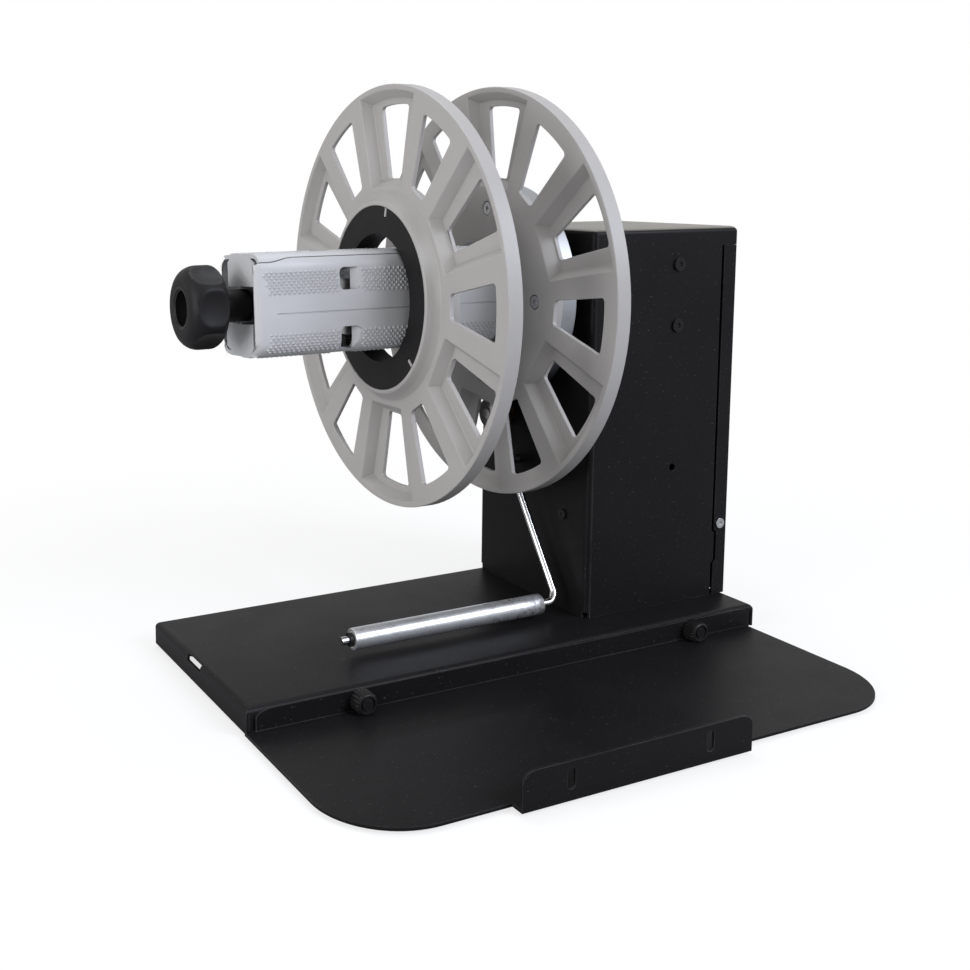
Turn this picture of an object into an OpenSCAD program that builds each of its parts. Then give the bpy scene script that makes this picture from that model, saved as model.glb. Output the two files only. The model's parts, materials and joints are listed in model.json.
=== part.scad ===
// Label rewinder: a motor tower on a folded base drives a spindle with an expanding
// core holder between two spoked flanges. A dancer arm with a roller guides the web,
// and a front plate with an upturned lip is held to the base by two thumb screws.
// All sub-parts are drawn in the spindle's frame: X runs along the spindle from the
// operator's left to the tower, zero at the tower's left face. Y runs away from the
// operator, Z up, both zero on the spindle axis. on_floor() then lowers the whole
// machine to the floor and centres it.

/* [Base tray] */
// Length of the tray along the spindle
tray_w = 300; // [240:1:360]
// Depth of the tray, front to back
tray_d = 120.5; // [110:0.5:160]
// Height of the tray's skirts
tray_h = 12; // [9:0.5:20]
// Sheet thickness of tray, front plate, tower and cover
sheet = 1.5; // [1:0.1:2]
// Outside radius of the sheet's bends
bend_r = 3; // [2.2:0.1:4]
// Height of the spindle axis above the tray's top
axis_h = 168.7; // [160:0.5:200]
// Distance from the spindle axis to the tray's back edge
axis_to_back = 35.5; // [32:0.5:45]
// Radius of the tall rubber feet
foot_r = 9; // [6:0.5:12]
// How far the feet stand out below the skirts
foot_proud = 1.5; // [1:0.1:3]
// Distance from a tall foot's middle to the skirts
foot_inset = 18; // [14:1:24]
// Length of the lifting slot in the left skirt
slot_len = 17; // [10:1:24]
// Height of the lifting slot
slot_h = 3.2; // [2:0.1:4]
// Distance from the slot's near end to the tray's near edge
slot_from_near = 56; // [40:1:70]
// Width of the open corners of the folds
fold_gap = 0.8; // [0.4:0.1:1.2]

/* [Front plate] */
// Width of the front plate
plate_w = 295; // [240:1:340]
// Depth of the front plate from the tray's near skirt
plate_d = 102.5; // [80:0.5:130]
// Radius of the front plate's corners
plate_corner_r = 37; // [20:1:48]
// Distance from the plate's left edge to its upstand
upstand_inset = 4.2; // [2:0.1:8]
// Length of the upstand's rounded top corners
upstand_corner = 9; // [5:0.5:12]
// Width of the upturned front lip
lip_w = 119; // [90:1:150]
// Distance from the plate's left edge to the lip
lip_from_left = 68.6; // [60:0.1:90]
// Height of the lip above the plate's underside
lip_h = 16.7; // [12:0.1:24]
// How far the lip stands in front of the plate's edge
lip_out = 6.3; // [4:0.1:10]
// Radius of the lip's top corners
lip_corner_r = 7; // [3:0.5:8]
// Width of the lip's upright slots
lip_slot_w = 3.8; // [3:0.1:5]
// Height of the lip's upright slots
lip_slot_h = 9; // [6:0.5:10]
// Distance from each end of the lip to its slot
lip_slot_inset = 23.5; // [15:0.5:35]
// Radius of the thumb screws' knurled heads
thumb_r = 4.8; // [4:0.1:5]
// Length of the thumb screws' heads
thumb_len = 7.6; // [5:0.1:10]
// Height of the thumb screws' middles above the plate's underside
thumb_up = 6.6; // [6.4:0.1:7]
// Distance from the tray's left end to the left thumb screw
thumb_from_left = 56; // [40:1:80]
// Distance from the plate's right end to the right thumb screw
thumb_from_right = 40.25; // [30:0.05:60]
// Radius of the thumb screws' shanks
thumb_shank_r = 1.5; // [1:0.1:2]
// Length of the thumb screws' shanks
thumb_shank_len = 9.5; // [8:0.1:12]
// Length of the clinch nuts behind the near skirt
nut_len = 2.4; // [1.6:0.1:3]
// Wall of the clinch nuts
nut_wall = 0.9; // [0.6:0.1:1.2]
// Radius of the thin pads under the front plate
pad_r = 6; // [4:0.5:9]

/* [Tower] */
// Size of the tower along the spindle
tower_w = 96.2; // [90:0.1:110]
// Depth of the tower, front to back
tower_d = 98.5; // [96:0.5:120]
// Height of the tower's top above the spindle axis
tower_over = 35.5; // [32:0.5:50]
// Height of the top's fold over the rear cover
fold_h = 10; // [6:0.5:14]
// Width of the rear cover's side flanges
cover_flange = 8.6; // [6:0.1:12]
// Width of the dark joint between shell and rear cover
cover_joint = 1.6; // [0.8:0.1:3]
// Height of the side flanges' narrow stretch
jog_h = 19; // [10:1:30]
// How far the narrow stretch steps back
jog_in = 1.8; // [1:0.1:3]
// Height of the narrow stretch's lower end above the tray
jog_up = 18; // [10:1:40]
// Height of the silver cover screws above the tray
cover_screw_up = 40.4; // [38:0.1:90]
// Width of the tower's foot flanges
foot_flange = 12; // [8:0.5:16]
// Radius of the spindle's hole in the tower's left face
spindle_hole_r = 12; // [10:0.5:13]
// Distance from the tower's near side to the middle of the control board
board_mid = 52.6; // [50:0.1:56]
// Height of the board screws above the tray
board_screw_up = 51.7; // [40:0.1:60]
// Distance between the board screws
board_screw_pitch = 64; // [50:1:70]
// Distance from the spindle axis to the spare hole in each side
spare_hole_down = 93; // [50:1:110]
// Radius of the spare holes
spare_hole_r = 2; // [1:0.1:3]
// Radius of the small screws' shanks
m3_r = 1.5; // [1.2:0.1:1.6]
// Radius of the small screws' heads
m3_head_r = 2.8; // [2.5:0.1:3]
// Height of the small screws' heads
m3_head_h = 2.2; // [1.6:0.1:3]
// Radius of the large screws' shanks
m4_r = 2; // [1.8:0.1:2.2]
// Radius of the large screws' heads
m4_head_r = 3.5; // [3.2:0.1:3.8]
// Height of the large screws' heads
m4_head_h = 2.6; // [2:0.1:3]

/* [Flanges] */
// Outside diameter of both flanges
flange_d = 220; // [200:1:222]
// Thickness of both flanges at the rim
flange_t = 8; // [6:0.1:10]
// Thickness of the flanges' raised and sunken skins
skin = 2.4; // [1.8:0.1:3]
// Width of the rim's wall
rim_wall = 2.8; // [2:0.1:4]
// Thickness of the sloping walls between raised and sunken sectors
spoke_wall = 2.2; // [1.8:0.1:3]
// How far the walls slope back from a sunken sector's top to its floor
spoke_draft = 4; // [1:0.1:5]
// Half the number of sectors: as many are raised as are sunken
sector_pairs = 6; // [5:1:7]
// Distance from the axis to the sunken sectors' straight inner ends
hub_r = 57; // [55:0.5:58]
// Distance from the axis to the windows' inner edge
window_in = 62; // [60:0.5:68]
// Radius of the windows' outer edge
window_out_r = 100; // [90:0.5:101]
// Width of the windows at their inner edge
window_in_w = 12.6; // [9:0.2:14]
// Width of the windows at their outer edge
window_out_w = 27.4; // [20:0.2:28]
// Radius of the windows' corners
window_corner_r = 2.2; // [1:0.1:3]
// Turn of the front flange against the horizontal
front_turn = 0.5; // [-15:0.5:15]
// Turn of the rear flange against the horizontal
rear_turn = -5; // [-15:0.5:15]
// Free space between the flanges, for the label roll
label_space = 53.4; // [20:0.1:56]
// Distance from the tower's face to the rear flange's back
flange_standoff = 15.9; // [15:0.1:18]
// Height of the front flange's collar
collar_h = 6; // [4:0.1:9]
// Outside radius of the collar at its top
collar_top_r = 50.3; // [49:0.1:52]
// Outside radius of the collar at its foot
collar_foot_r = 54.5; // [52:0.1:55]
// Outside radius of the black adapter ring
ring_r = 47.9; // [44:0.1:48.2]
// Gap between the adapter ring and the opened jaws
ring_gap = 0.38; // [0.35:0.01:0.6]
// Wall of the adapter ring's tube
ring_tube_wall = 3.6; // [2:0.1:5]
// Length of the three keys that hold the ring
key_len = 5; // [3:0.5:7]
// Width of the keys
key_w = 1.8; // [1.2:0.1:4]
// Turn of the first key against the horizontal
key_turn = 78.8; // [60:0.1:100]
// Radius of the hub disc behind the rear flange
hub_disc_r = 58.5; // [50:0.5:60]
// Thickness of the hub disc
hub_disc_t = 9; // [6:0.5:10]
// Radius on which the rear flange's screws stand
flange_screw_pcr = 45.5; // [36:0.5:50]
// Turn of the rear flange's screws against the horizontal
flange_screw_turn = -2; // [-10:1:10]
// Gap between the adapter ring and the front flange
ring_fit = 0.2; // [0.1:0.05:0.4]

/* [Core holder] */
// Half the width across the closed jaws
jaw_half = 25.5; // [25.5:0.1:26]
// Width of the jaws' plain band
jaw_band_w = 20; // [18:0.1:22]
// How far the plain band's middle lies off the jaws' middle, away from the seam
jaw_band_off = 4.3; // [3:0.1:5]
// Width of the knurled band on the seam's side
knurl_seam_w = 10; // [8:0.1:11]
// How far the jaws' faces fall back at their sharp corner
jaw_fall = 0.4; // [0.3:0.1:1.5]
// How far the jaws' faces fall back at the seam
seam_fall = 1.2; // [0.6:0.1:1.6]
// Turn of the whole core holder against the horizontal
holder_turn = 4; // [-15:0.5:15]
// Wall of the jaws
jaw_wall = 2.6; // [2:0.1:3]
// Gap of the seam between neighbouring jaws
jaw_seam = 0.5; // [0.4:0.05:0.8]
// Distance from the next jaw's face down to the seam
seam_down = 2.1; // [1.6:0.05:2.4]
// How far the seams swing down near the jaws' left ends
seam_swing = 2.1; // [0:0.1:2.4]
// Length of the jaws
jaw_len = 138; // [120:1:150]
// Distance from the rear flange to the jaws' right ends
jaw_clear = 9.4; // [7:0.1:12]
// Gap between the jaws' end plates and the knob's neck
jaw_end_gap = 1.1; // [0.8:0.1:1.6]
// Radius of the jaws' rounded left edge
jaw_nose_r = 4.5; // [2:0.1:5]
// Opening travel of each jaw
jaw_travel = 0.5; // [0.3:0.05:0.6]
// Travel of the wedge sleeves that opens the jaws
wedge_travel = 2.5; // [2:0.05:4]
// Width of the windows in the jaws
jaw_window_w = 10.4; // [6:0.1:12]
// Height of the windows in the jaws
jaw_window_h = 9.2; // [6:0.1:10]
// Distance from the jaws' middle to the middle of the window on the seam's side
window_seam_off = 11.3; // [11:0.1:12]
// Distance from the jaws' middle to the middle of the window on the corner's side
window_corner_off = 17; // [16:0.1:17.5]
// Distance from the jaws' left ends to their windows' middles
jaw_window_in = 52.3; // [50:0.1:54]
// Half the width of the square carrier inside the jaws
carrier_half = 12; // [11:0.5:13]
// Bore radius of the carrier
carrier_bore_r = 8; // [7:0.1:8.5]
// Radius of the lead screw
lead_r = 4; // [3:0.1:5]
// Length of the wedge sleeves
wedge_len = 16; // [12:0.5:20]
// Half the width of a wedge sleeve at its thin end
wedge_thin_half = 15; // [14.5:0.1:16]
// Half the width of the jaws' pads on the wedges
pad_half = 6; // [4:0.1:7]
// Radius of the jaws' guide posts
post_r = 3; // [2:0.1:4]
// Distance from the jaws' left ends to the carrier
carrier_in = 6.5; // [6:0.1:9]
// Thickness of the carrier's plate
carrier_plate_t = 6; // [4:0.5:7]
// Radius of the carrier's plate
carrier_plate_r = 28; // [26:0.5:30]
// Length of the lead screw's bushes
lead_bush_len = 7; // [5:0.5:9]
// Length of the draw nuts
draw_nut_len = 12; // [10:0.5:14]
// Radius of the draw pins
draw_pin_r = 1.5; // [1:0.1:2]

/* [Hand knob] */
// Radius of the knob
knob_r = 20.7; // [18:0.1:24]
// Length of the knob
knob_len = 18.4; // [16:0.1:24]
// Radius of the knob's neck
neck_r = 8.1; // [7:0.1:9]
// Distance from the jaws' left ends to the knob
knob_clear = 9.4; // [6:0.1:12]
// Radius of the recess in the knob's face
recess_r = 9.6; // [6:0.1:12]
// Depth of the recess
recess_depth = 11; // [8:0.5:14]
// Number of scooped grips round the knob
grips = 6; // [5:1:8]
// Radius of the scoops
scoop_r = 34; // [28:1:40]
// Depth of the scoops
scoop_depth = 3.1; // [2:0.1:3.5]
// Turn of the first scoop against the horizontal
grip_turn = 3; // [-30:1:30]

/* [Dancer arm] */
// Distance from the spindle axis back to the arm's pivot
pivot_back = 10.2; // [6:0.1:14]
// Distance from the spindle axis down to the arm's pivot
pivot_down = 70; // [70:0.5:76]
// Distance from the spindle axis forward to the roller
roller_front = 50.5; // [44:0.5:60]
// Distance from the spindle axis down to the roller
roller_down = 161; // [156:0.5:161]
// Radius of the arm's rod
rod_r = 2; // [1.6:0.1:2.4]
// Distance from the tower's face to the rod
rod_off = 9.3; // [8.8:0.1:10]
// Bend radius of the rod, on its axis
rod_bend_r = 6; // [5:0.5:9]
// Length of the roller
roller_len = 112; // [90:1:115]
// Outside radius of the roller
roller_r = 5.4; // [4:0.1:6]
// Distance from the tower's face to the roller
roller_off = 20.5; // [18:0.5:26]
// Length of rod beyond the roller
rod_end = 6; // [4:0.1:8]
// Radius of the arm's hub
arm_hub_r = 8; // [6:0.5:9]
// Length of the arm's hub
arm_hub_len = 8.4; // [6:0.2:9]
// Radius of the shaft that the arm turns on
arm_shaft_r = 3; // [2.5:0.1:3.5]
// Outside radius of the arm's bush in the wall
bush_r = 5; // [4.5:0.1:6]
// Thickness of the bush's flange
bush_flange_t = 1.2; // [0.8:0.1:2]
// Width of the arm sensor
sensor_w = 26; // [20:0.5:30]
// Length of the arm sensor
sensor_len = 14; // [12:0.5:18]
// Radius of the stop pin that the rod rests on
stop_r = 2.5; // [2:0.1:3]
// Distance from the arm's pivot to the stop pin along the arm
stop_at = 27; // [20:0.5:40]
// Wall of the roller's tube
roller_wall = 1.4; // [1:0.1:2]
// Length of the roller's bushes
roller_bush_len = 6; // [4:0.5:9]
// Thickness of the clip at the rod's end
clip_t = 1.2; // [0.8:0.1:2]

/* [Drive] */
// Radius of the spindle shaft
shaft_r = 6; // [5:0.5:7]
// Outside radius of the ball bearings
bearing_r = 14; // [12:0.5:15]
// Width of the ball bearings
bearing_w = 8; // [6:0.5:9]
// Width of the bearing housing's square flange
housing_w = 46; // [40:1:50]
// Distance from the tower's face to the motor bracket
bracket_in = 38; // [37:0.5:40]
// Radius of the gearbox
gearbox_r = 18.5; // [15:0.5:22]
// Length of the gearbox
gearbox_len = 20; // [16:0.5:24]
// Radius of the motor can
motor_r = 17; // [13:0.5:20]
// Free room between the motor and the rear cover
motor_room = 5.7; // [3:0.1:10]
// Distance from the spindle axis to each bracket screw
bracket_screw_off = 16.2; // [12:0.1:20]
// Distance from the tower's face to the bracket screws
bracket_screw_in = 56; // [52:0.5:60]
// Radius of the shaft's thin end
shaft_tip_r = 3; // [2.5:0.1:4]
// Gap between the two bearings
bearing_gap = 2; // [1:0.1:3]
// Thickness of the bearings' outer races
race_t = 2.4; // [2:0.1:3]
// Wall of the bearing housing
housing_wall = 4; // [3:0.1:5]
// Thickness of the housing's flange
housing_flange_t = 4; // [3:0.1:6]
// Sheet thickness of the motor bracket
bracket_t = 3; // [2:0.1:3.4]
// Distance from the bracket screws to the bracket's edges
bracket_lip = 8; // [6:0.1:10]
// Radius of the gearbox's nose
gearbox_nose_r = 6; // [5:0.1:8]
// Distance from the tower's face to the control board
board_in = 8; // [6:0.1:12]
// Thickness of the control board
board_t = 1.6; // [1:0.1:2.4]
// Height of the control board
board_h = 36; // [30:0.5:42]
// Distance from the board screws to the board's edges
board_edge = 5; // [4:0.1:7]

/* [Rear panel] */
// Height of the rocker switch's middle above the tray
switch_up = 46; // [40:1:60]
// Distance from the tower's near side to the switch's middle
switch_in = 28; // [24:1:34]
// Width of the switch's rocker
rocker_w = 12; // [10:0.5:14]
// Height of the switch's rocker
rocker_h = 19; // [16:0.5:24]
// Distance from the tower's near side to the power inlet
inlet_in = 70; // [64:1:76]
// Radius of the power inlet's mouth
inlet_r = 3; // [2.5:0.1:4]
// Radius of the tension dial
dial_r = 9; // [7:0.5:11]
// Length of the tension dial
dial_len = 11; // [8:0.5:14]
// Height of the tension dial above the tray
dial_up = 92; // [84:1:110]
// Gap between the dial and the rear cover
dial_gap = 0.6; // [0.4:0.1:1.5]
// Radius of the dial's stem
dial_stem_r = 3; // [2.5:0.1:4]
// Wall of the power inlet
inlet_wall = 2; // [1.5:0.1:2.5]
// Wall of the switch's housing
switch_wall = 1; // [0.8:0.1:1.5]
// Thickness of the switch's bezel
switch_bezel = 1.6; // [1:0.1:2]
// Radius of the rocker's pivot pin
rocker_pin_r = 1.2; // [1:0.1:1.5]

/* [Fits] */
// Radial clearance of a running fit
fit = 0.05; // [0.02:0.01:0.1]
// Free gap between moving pieces
free = 0.35; // [0.3:0.05:0.5]
// Radial clearance round a screw's shank
screw_gap = 0.15; // [0.1:0.05:0.3]
// Overrun of cuts past a face
over = 1; // [0.5:0.1:2]

/* [Hidden] */
$fn = 64;

// Places along the spindle, from the tower's face to the left
rear_flange_x = -flange_standoff - flange_t;
front_flange_x = rear_flange_x - label_space;
front_face_x = front_flange_x - flange_t;
ring_face_x = front_face_x - collar_h;
jaw_right_x = rear_flange_x - jaw_clear;
jaw_left_x = jaw_right_x - jaw_len;
knob_right_x = jaw_left_x - knob_clear;
knob_left_x = knob_right_x - knob_len;
flange_r = flange_d / 2;

// Places of the base, down from the axis
tray_top = -axis_h;
tray_low = tray_top - tray_h;
floor_z = tray_low - foot_proud;
tray_right = tower_w;
tray_left = tray_right - tray_w;
tray_back = axis_to_back;
tray_near = tray_back - tray_d;
plate_front = tray_near - plate_d;
lip_front = plate_front - lip_out;
lip_left = tray_left + lip_from_left;

// Places of the tower
tower_back = tray_back;
tower_near = tower_back - tower_d;
tower_mid = (tower_near + tower_back) / 2;
cover_x = tower_w - sheet;
cover_top = tower_over - fold_h;
shell_edge = tower_w - cover_flange - cover_joint;

// Outer reach of the whole machine, used to centre it
dial_tip_x = tower_w + dial_gap + dial_len;
plate_left = tray_left - sheet / 2;
mid_x = (min(knob_left_x, plate_left) + dial_tip_x) / 2;
mid_y = (lip_front + flange_r) / 2;

// Dancer arm: its direction from pivot to roller
arm_dy = -roller_front - pivot_back;
arm_dz = -roller_down + pivot_down;
arm_len = norm([arm_dy, arm_dz]);
arm_tilt = atan2(arm_dz, arm_dy);

// Core holder
corner_half = jaw_half - jaw_fall;
ring_bore_r = norm([corner_half + jaw_travel, corner_half]) + ring_gap;
seam_at = jaw_half - seam_down;
band_low = -jaw_band_off - jaw_band_w / 2;
band_high = -jaw_band_off + jaw_band_w / 2;
jaw_end_t = jaw_wall;
jaw_end_in = jaw_wall * 1.25;
wedge_slope = jaw_travel / wedge_travel;
wedge_front_x = jaw_left_x + jaw_window_in - wedge_len / 2;
wedge_rear_x = jaw_right_x - 2.2 * wedge_len;
post_front_x = jaw_left_x + jaw_len / 6;
post_rear_x = jaw_right_x - 2 * post_r;
carrier_left_x = jaw_left_x + carrier_in;

// Drive and rear panel
bearings_right_x = sheet + 2 * bearing_w + bearing_gap;
motor_len = cover_x - motor_room - motor_r / 9 - bracket_in - bracket_t - gearbox_len;
switch_w = rocker_w + 2 * switch_wall;
switch_h = rocker_h + 2 * switch_wall;
rocker_pin_w = rocker_w + switch_wall / 10;
spigot_r = shaft_r * 2.33;
screw_sunk = m4_head_h * 1.15;

module on_floor() {
  translate([-mid_x, -mid_y, -floor_z]) children();
}

// Drawn along local Z from x towards the left, local X towards the operator, local Y up
module on_spindle(x, y = 0, z = 0) {
  translate([x, y, z]) rotate([90, 0, -90]) children();
}

// The same, turned with the core holder
module on_holder(x) {
  on_spindle(x) rotate([0, 0, holder_turn]) children();
}

module tube(r_out, r_in, len) {
  difference() {
    cylinder(r = r_out, h = len);
    translate([0, 0, -over]) cylinder(r = r_in, h = len + 2 * over);
  }
}

// Screw with its head's underside at zero, shank down, hexagon socket in the head
module socket_screw(r, head_r, head_h, len) {
  difference() {
    union() {
      cylinder(r = head_r, h = head_h);
      translate([0, 0, -len]) cylinder(r = r, h = len + head_h / 2);
    }
    translate([0, 0, head_h / 2]) cylinder(r = r * 0.75, h = head_h, $fn = 6);
  }
}

// Sheet profile with two rounded upper edges, standing on zero
module round_top(w, h, r) {
  translate([-w / 2, 0]) square([w, h - r]);
  translate([-w / 2 + r, 0]) square([w - 2 * r, h]);
  for (side = [-1, 1]) translate([side * (w / 2 - r), h - r]) circle(r = r);
}

// Block with its four upper edges rounded, standing on zero
module round_block(w, d, h, r) {
  intersection() {
    translate([0, d / 2, 0]) rotate([90, 0, 0]) linear_extrude(d) round_top(w, h, r);
    translate([-w / 2, 0, 0]) rotate([90, 0, 90]) linear_extrude(w) round_top(d, h, r);
  }
}

// Folded pan, open below
module pan(w, d, h, r) {
  difference() {
    round_block(w, d, h, r);
    translate([0, 0, -over]) round_block(w - 2 * sheet, d - 2 * sheet, h + over - sheet, r - sheet);
  }
}

module base_tray() color([0.13, 0.13, 0.13]) on_floor() {
  mid = [(tray_left + tray_right) / 2, (tray_near + tray_back) / 2];
  difference() {
    translate([mid[0], mid[1], tray_low]) pan(tray_w, tray_d, tray_h, bend_r);
    // Lifting slot at the left bend
    translate([tray_left - over, tray_near + slot_from_near, tray_top - slot_h - sheet / 2])
      cube([bend_r + over, slot_len, slot_h]);
    // Open corners of the fold
    for (x = [tray_left + sheet, tray_right - sheet - fold_gap])
      translate([x, tray_near - over, tray_low - over])
        cube([fold_gap, sheet + 2 * over, tray_h + over - bend_r]);
    for (i = [0, 1]) translate([thumb_x(i), tray_near - over, thumb_z()]) rotate([-90, 0, 0])
      cylinder(r = thumb_shank_r + free, h = sheet + 2 * over);
    for (p = foot_screw_places()) translate([p[0], p[1], tray_top - sheet - over])
      cylinder(r = m3_r + screw_gap, h = sheet + 2 * over);
  }
}

function thumb_x(i) = i == 0 ? tray_left + thumb_from_left : plate_left + plate_w - thumb_from_right;
function thumb_z() = tray_low + thumb_up;
function foot_screw_places() = [
  for (x = [tower_w * 0.28, tower_w * 0.6], y = [tower_near + sheet + foot_flange / 2,
    tower_back - sheet - foot_flange / 2]) [x, y]];

module tall_feet() color([0.08, 0.08, 0.08]) on_floor() {
  for (x = [tray_left + foot_inset, tray_right - foot_inset],
       y = [tray_near + foot_inset, tray_back - foot_inset])
    translate([x, y, floor_z])
      rotate_extrude() polygon([[0, 0], [foot_r - foot_proud, 0], [foot_r, foot_proud],
        [foot_r, tray_top - sheet - floor_z], [0, tray_top - sheet - floor_z]]);
}

// Outline of the front plate, near corners rounded
module plate_outline() {
  left = plate_left;
  r = plate_corner_r;
  translate([left, plate_front + r]) square([plate_w, tray_near - plate_front - r]);
  translate([left + r, plate_front]) square([plate_w - 2 * r, r + over]);
  for (x = [left + r, left + plate_w - r]) intersection() {
    translate([x, plate_front + r]) circle(r = r, $fn = 96);
    translate([x - r - over, plate_front - over]) square([2 * r + 2 * over, r + over * 1.5]);
  }
}

// Upright sheet with rounded top corners, drawn from its lower left corner
module corner_sheet(w, h, run, rise) {
  difference() {
    square([w, h]);
    for (side = [0, 1]) translate([side * w, h]) mirror([side, 0]) difference() {
      translate([-over, -rise]) square([run + over, rise + over]);
      translate([run, -rise]) scale_circle(run, rise);
    }
  }
}

// Quarter curve of an ellipse, as short straight runs
module scale_circle(run, rise) {
  polygon([for (k = [0:12]) let (a = 90 + k * 7.5) [run * cos(a), rise * sin(a)],
    [0, 0]]);
}

module front_plate() color([0.11, 0.11, 0.12]) on_floor() {
  up_left = tray_left + upstand_inset;
  up_w = plate_w - upstand_inset;
  up_h = tray_top - tray_low - sheet / 2;
  face = tray_near - sheet;
  difference() {
    union() {
      translate([0, 0, tray_low]) linear_extrude(sheet) plate_outline();
      translate([up_left, tray_near, tray_low]) rotate([90, 0, 0]) linear_extrude(sheet)
        corner_sheet(up_w, up_h, upstand_corner, up_h / 3);
      translate([lip_left, lip_front, tray_low]) cube([lip_w, lip_out + over, sheet]);
      translate([lip_left, lip_front + sheet, tray_low]) rotate([90, 0, 0]) linear_extrude(sheet)
        corner_sheet(lip_w, lip_h, lip_corner_r, lip_corner_r * 0.7);
    }
    for (x = [lip_left + lip_slot_inset, lip_left + lip_w - lip_slot_inset])
      translate([x, lip_front - over, tray_low + lip_h * 0.56]) rotate([-90, 0, 0])
        linear_extrude(sheet + 2 * over) stadium(lip_slot_w, lip_slot_h);
    for (i = [0, 1]) translate([thumb_x(i), face - over, thumb_z()]) rotate([-90, 0, 0])
      cylinder(r = thumb_shank_r + free, h = sheet + 2 * over);
  }
}

// Upright slot outline with round ends, centred
module stadium(w, h) {
  square([w, h - w], center = true);
  for (side = [-1, 1]) translate([0, side * (h - w) / 2]) circle(r = w / 2, $fn = 24);
}

module plate_pads() color([0.08, 0.08, 0.08]) on_floor() {
  for (x = [tray_left + plate_corner_r / 2, lip_left + lip_w / 2,
            tray_left + plate_w - plate_corner_r / 2])
    translate([x, plate_front + plate_corner_r / 2, floor_z]) cylinder(r = pad_r, h = foot_proud);
}

// Thumb screw pointing away from the operator, its head's back face at zero
module thumb_screw() {
  chamfer = thumb_len / 12;
  rotate([90, 0, 0]) {
    difference() {
      rotate_extrude() polygon([[0, 0], [thumb_r - chamfer, 0], [thumb_r, chamfer],
        [thumb_r, thumb_len - chamfer], [thumb_r - chamfer, thumb_len], [0, thumb_len]]);
      for (k = [0:17]) rotate([0, 0, k * 20]) translate([thumb_r, 0, -over])
        cylinder(r = thumb_r / 12, h = thumb_len + 2 * over, $fn = 4);
    }
    translate([0, 0, -thumb_shank_len]) cylinder(r = thumb_shank_r, h = thumb_shank_len + over);
  }
}

module thumb_screw_left() color([0.07, 0.07, 0.07]) on_floor()
  translate([thumb_x(0), tray_near - sheet - free, thumb_z()]) thumb_screw();

module thumb_screw_right() color([0.07, 0.07, 0.07]) on_floor()
  translate([thumb_x(1), tray_near - sheet - free, thumb_z()]) thumb_screw();

// Nuts pressed into the back of the near skirt for the thumb screws
module clinch_nuts() color([0.75, 0.75, 0.76]) on_floor() {
  for (i = [0, 1]) translate([thumb_x(i), tray_near + sheet, thumb_z()]) rotate([-90, 0, 0])
    difference() {
      cylinder(r = thumb_shank_r + nut_wall, h = nut_len);
      translate([0, 0, -over]) cylinder(r = thumb_shank_r + fit, h = nut_len + 2 * over);
    }
}

// Near and far outline of the shell's side, seen from the operator
module side_outline() {
  low = tray_top;
  mid_low = low + jog_up;
  mid_high = mid_low + jog_h;
  polygon([
    [0, low], [shell_edge, low], [shell_edge, mid_low], [shell_edge + jog_in, mid_low + jog_in],
    [shell_edge + jog_in, mid_high - jog_in], [shell_edge, mid_high], [shell_edge, cover_top],
    [tower_w, cover_top], [tower_w, tower_over], [0, tower_over]]);
}

module tower_shell() color([0.14, 0.14, 0.15]) on_floor() {
  notch = 2 * sheet;
  inner_w = tower_w - 2 * sheet;
  difference() {
    union() {
      intersection() {
        // Folded walls, open to the right below the top's fold
        translate([0, tower_mid, tray_top]) difference() {
          shell_body(tower_w, tower_d, tower_over - tray_top, bend_r);
          translate([sheet, 0, -over])
            shell_body(inner_w, tower_d - 2 * sheet, tower_over - tray_top + over - sheet,
              bend_r - sheet);
        }
        translate([0, tower_back + over, 0]) rotate([90, 0, 0]) linear_extrude(tower_d + 2 * over)
          side_outline();
      }
      // Foot flanges, turned in
      for (y = [tower_near + sheet / 2, tower_back - sheet / 2 - foot_flange])
        translate([bend_r + notch, y, tray_top])
          cube([shell_edge - bend_r - 2 * notch, foot_flange, sheet]);
    }
    // Corner notches of the fold
    for (y = [tower_near - over, tower_back - notch])
      translate([-over, y, tray_top - over]) cube([sheet + 2 * over, notch + over, notch + over]);
    on_spindle(sheet + over) cylinder(r = spindle_hole_r, h = sheet + 2 * over);
    on_spindle(sheet + over, pivot_back, -pivot_down)
      cylinder(r = bush_r + screw_gap, h = sheet + 2 * over);
    on_spindle(sheet + over, stop_y(), stop_z())
      cylinder(r = stop_r + screw_gap, h = sheet + 2 * over);
    for (y = board_screw_y()) on_spindle(sheet + over, y, tray_top + board_screw_up)
      cylinder(r = m3_r + screw_gap, h = sheet + 2 * over);
    for (s = [-1, 1]) translate([bracket_screw_in, tower_near - over, s * bracket_screw_off])
      rotate([-90, 0, 0]) cylinder(r = m4_r + screw_gap, h = tower_d + 2 * over);
    translate([bracket_screw_in, tower_near - over, -spare_hole_down]) rotate([-90, 0, 0])
      cylinder(r = spare_hole_r, h = tower_d + 2 * over, $fn = 24);
    for (p = foot_screw_places()) translate([p[0], p[1], tray_top - over])
      cylinder(r = m3_r + screw_gap, h = sheet + 2 * over);
    for (p = housing_screw_places()) on_spindle(sheet + over, p[0], p[1])
      cylinder(r = m3_r + screw_gap, h = sheet + 2 * over);
  }
}

// Solid with rounded upright edges on the left and rounded upper edges, left face at zero
module shell_body(w, d, h, r) {
  intersection() {
    translate([w / 2, d / 2, 0]) rotate([90, 0, 0]) linear_extrude(d) round_top(w, h, r);
    rotate([90, 0, 90]) linear_extrude(w) round_top(d, h, r);
    translate([w, 0, 0]) rotate([0, 0, 90]) linear_extrude(h) round_top(d, w, r);
  }
}

function housing_screw_places() = [for (a = [45:90:315]) housing_w * 0.553 * [cos(a), sin(a)]];
function board_screw_y() = [for (s = [-1, 1]) tower_near + board_mid + s * board_screw_pitch / 2];

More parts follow.
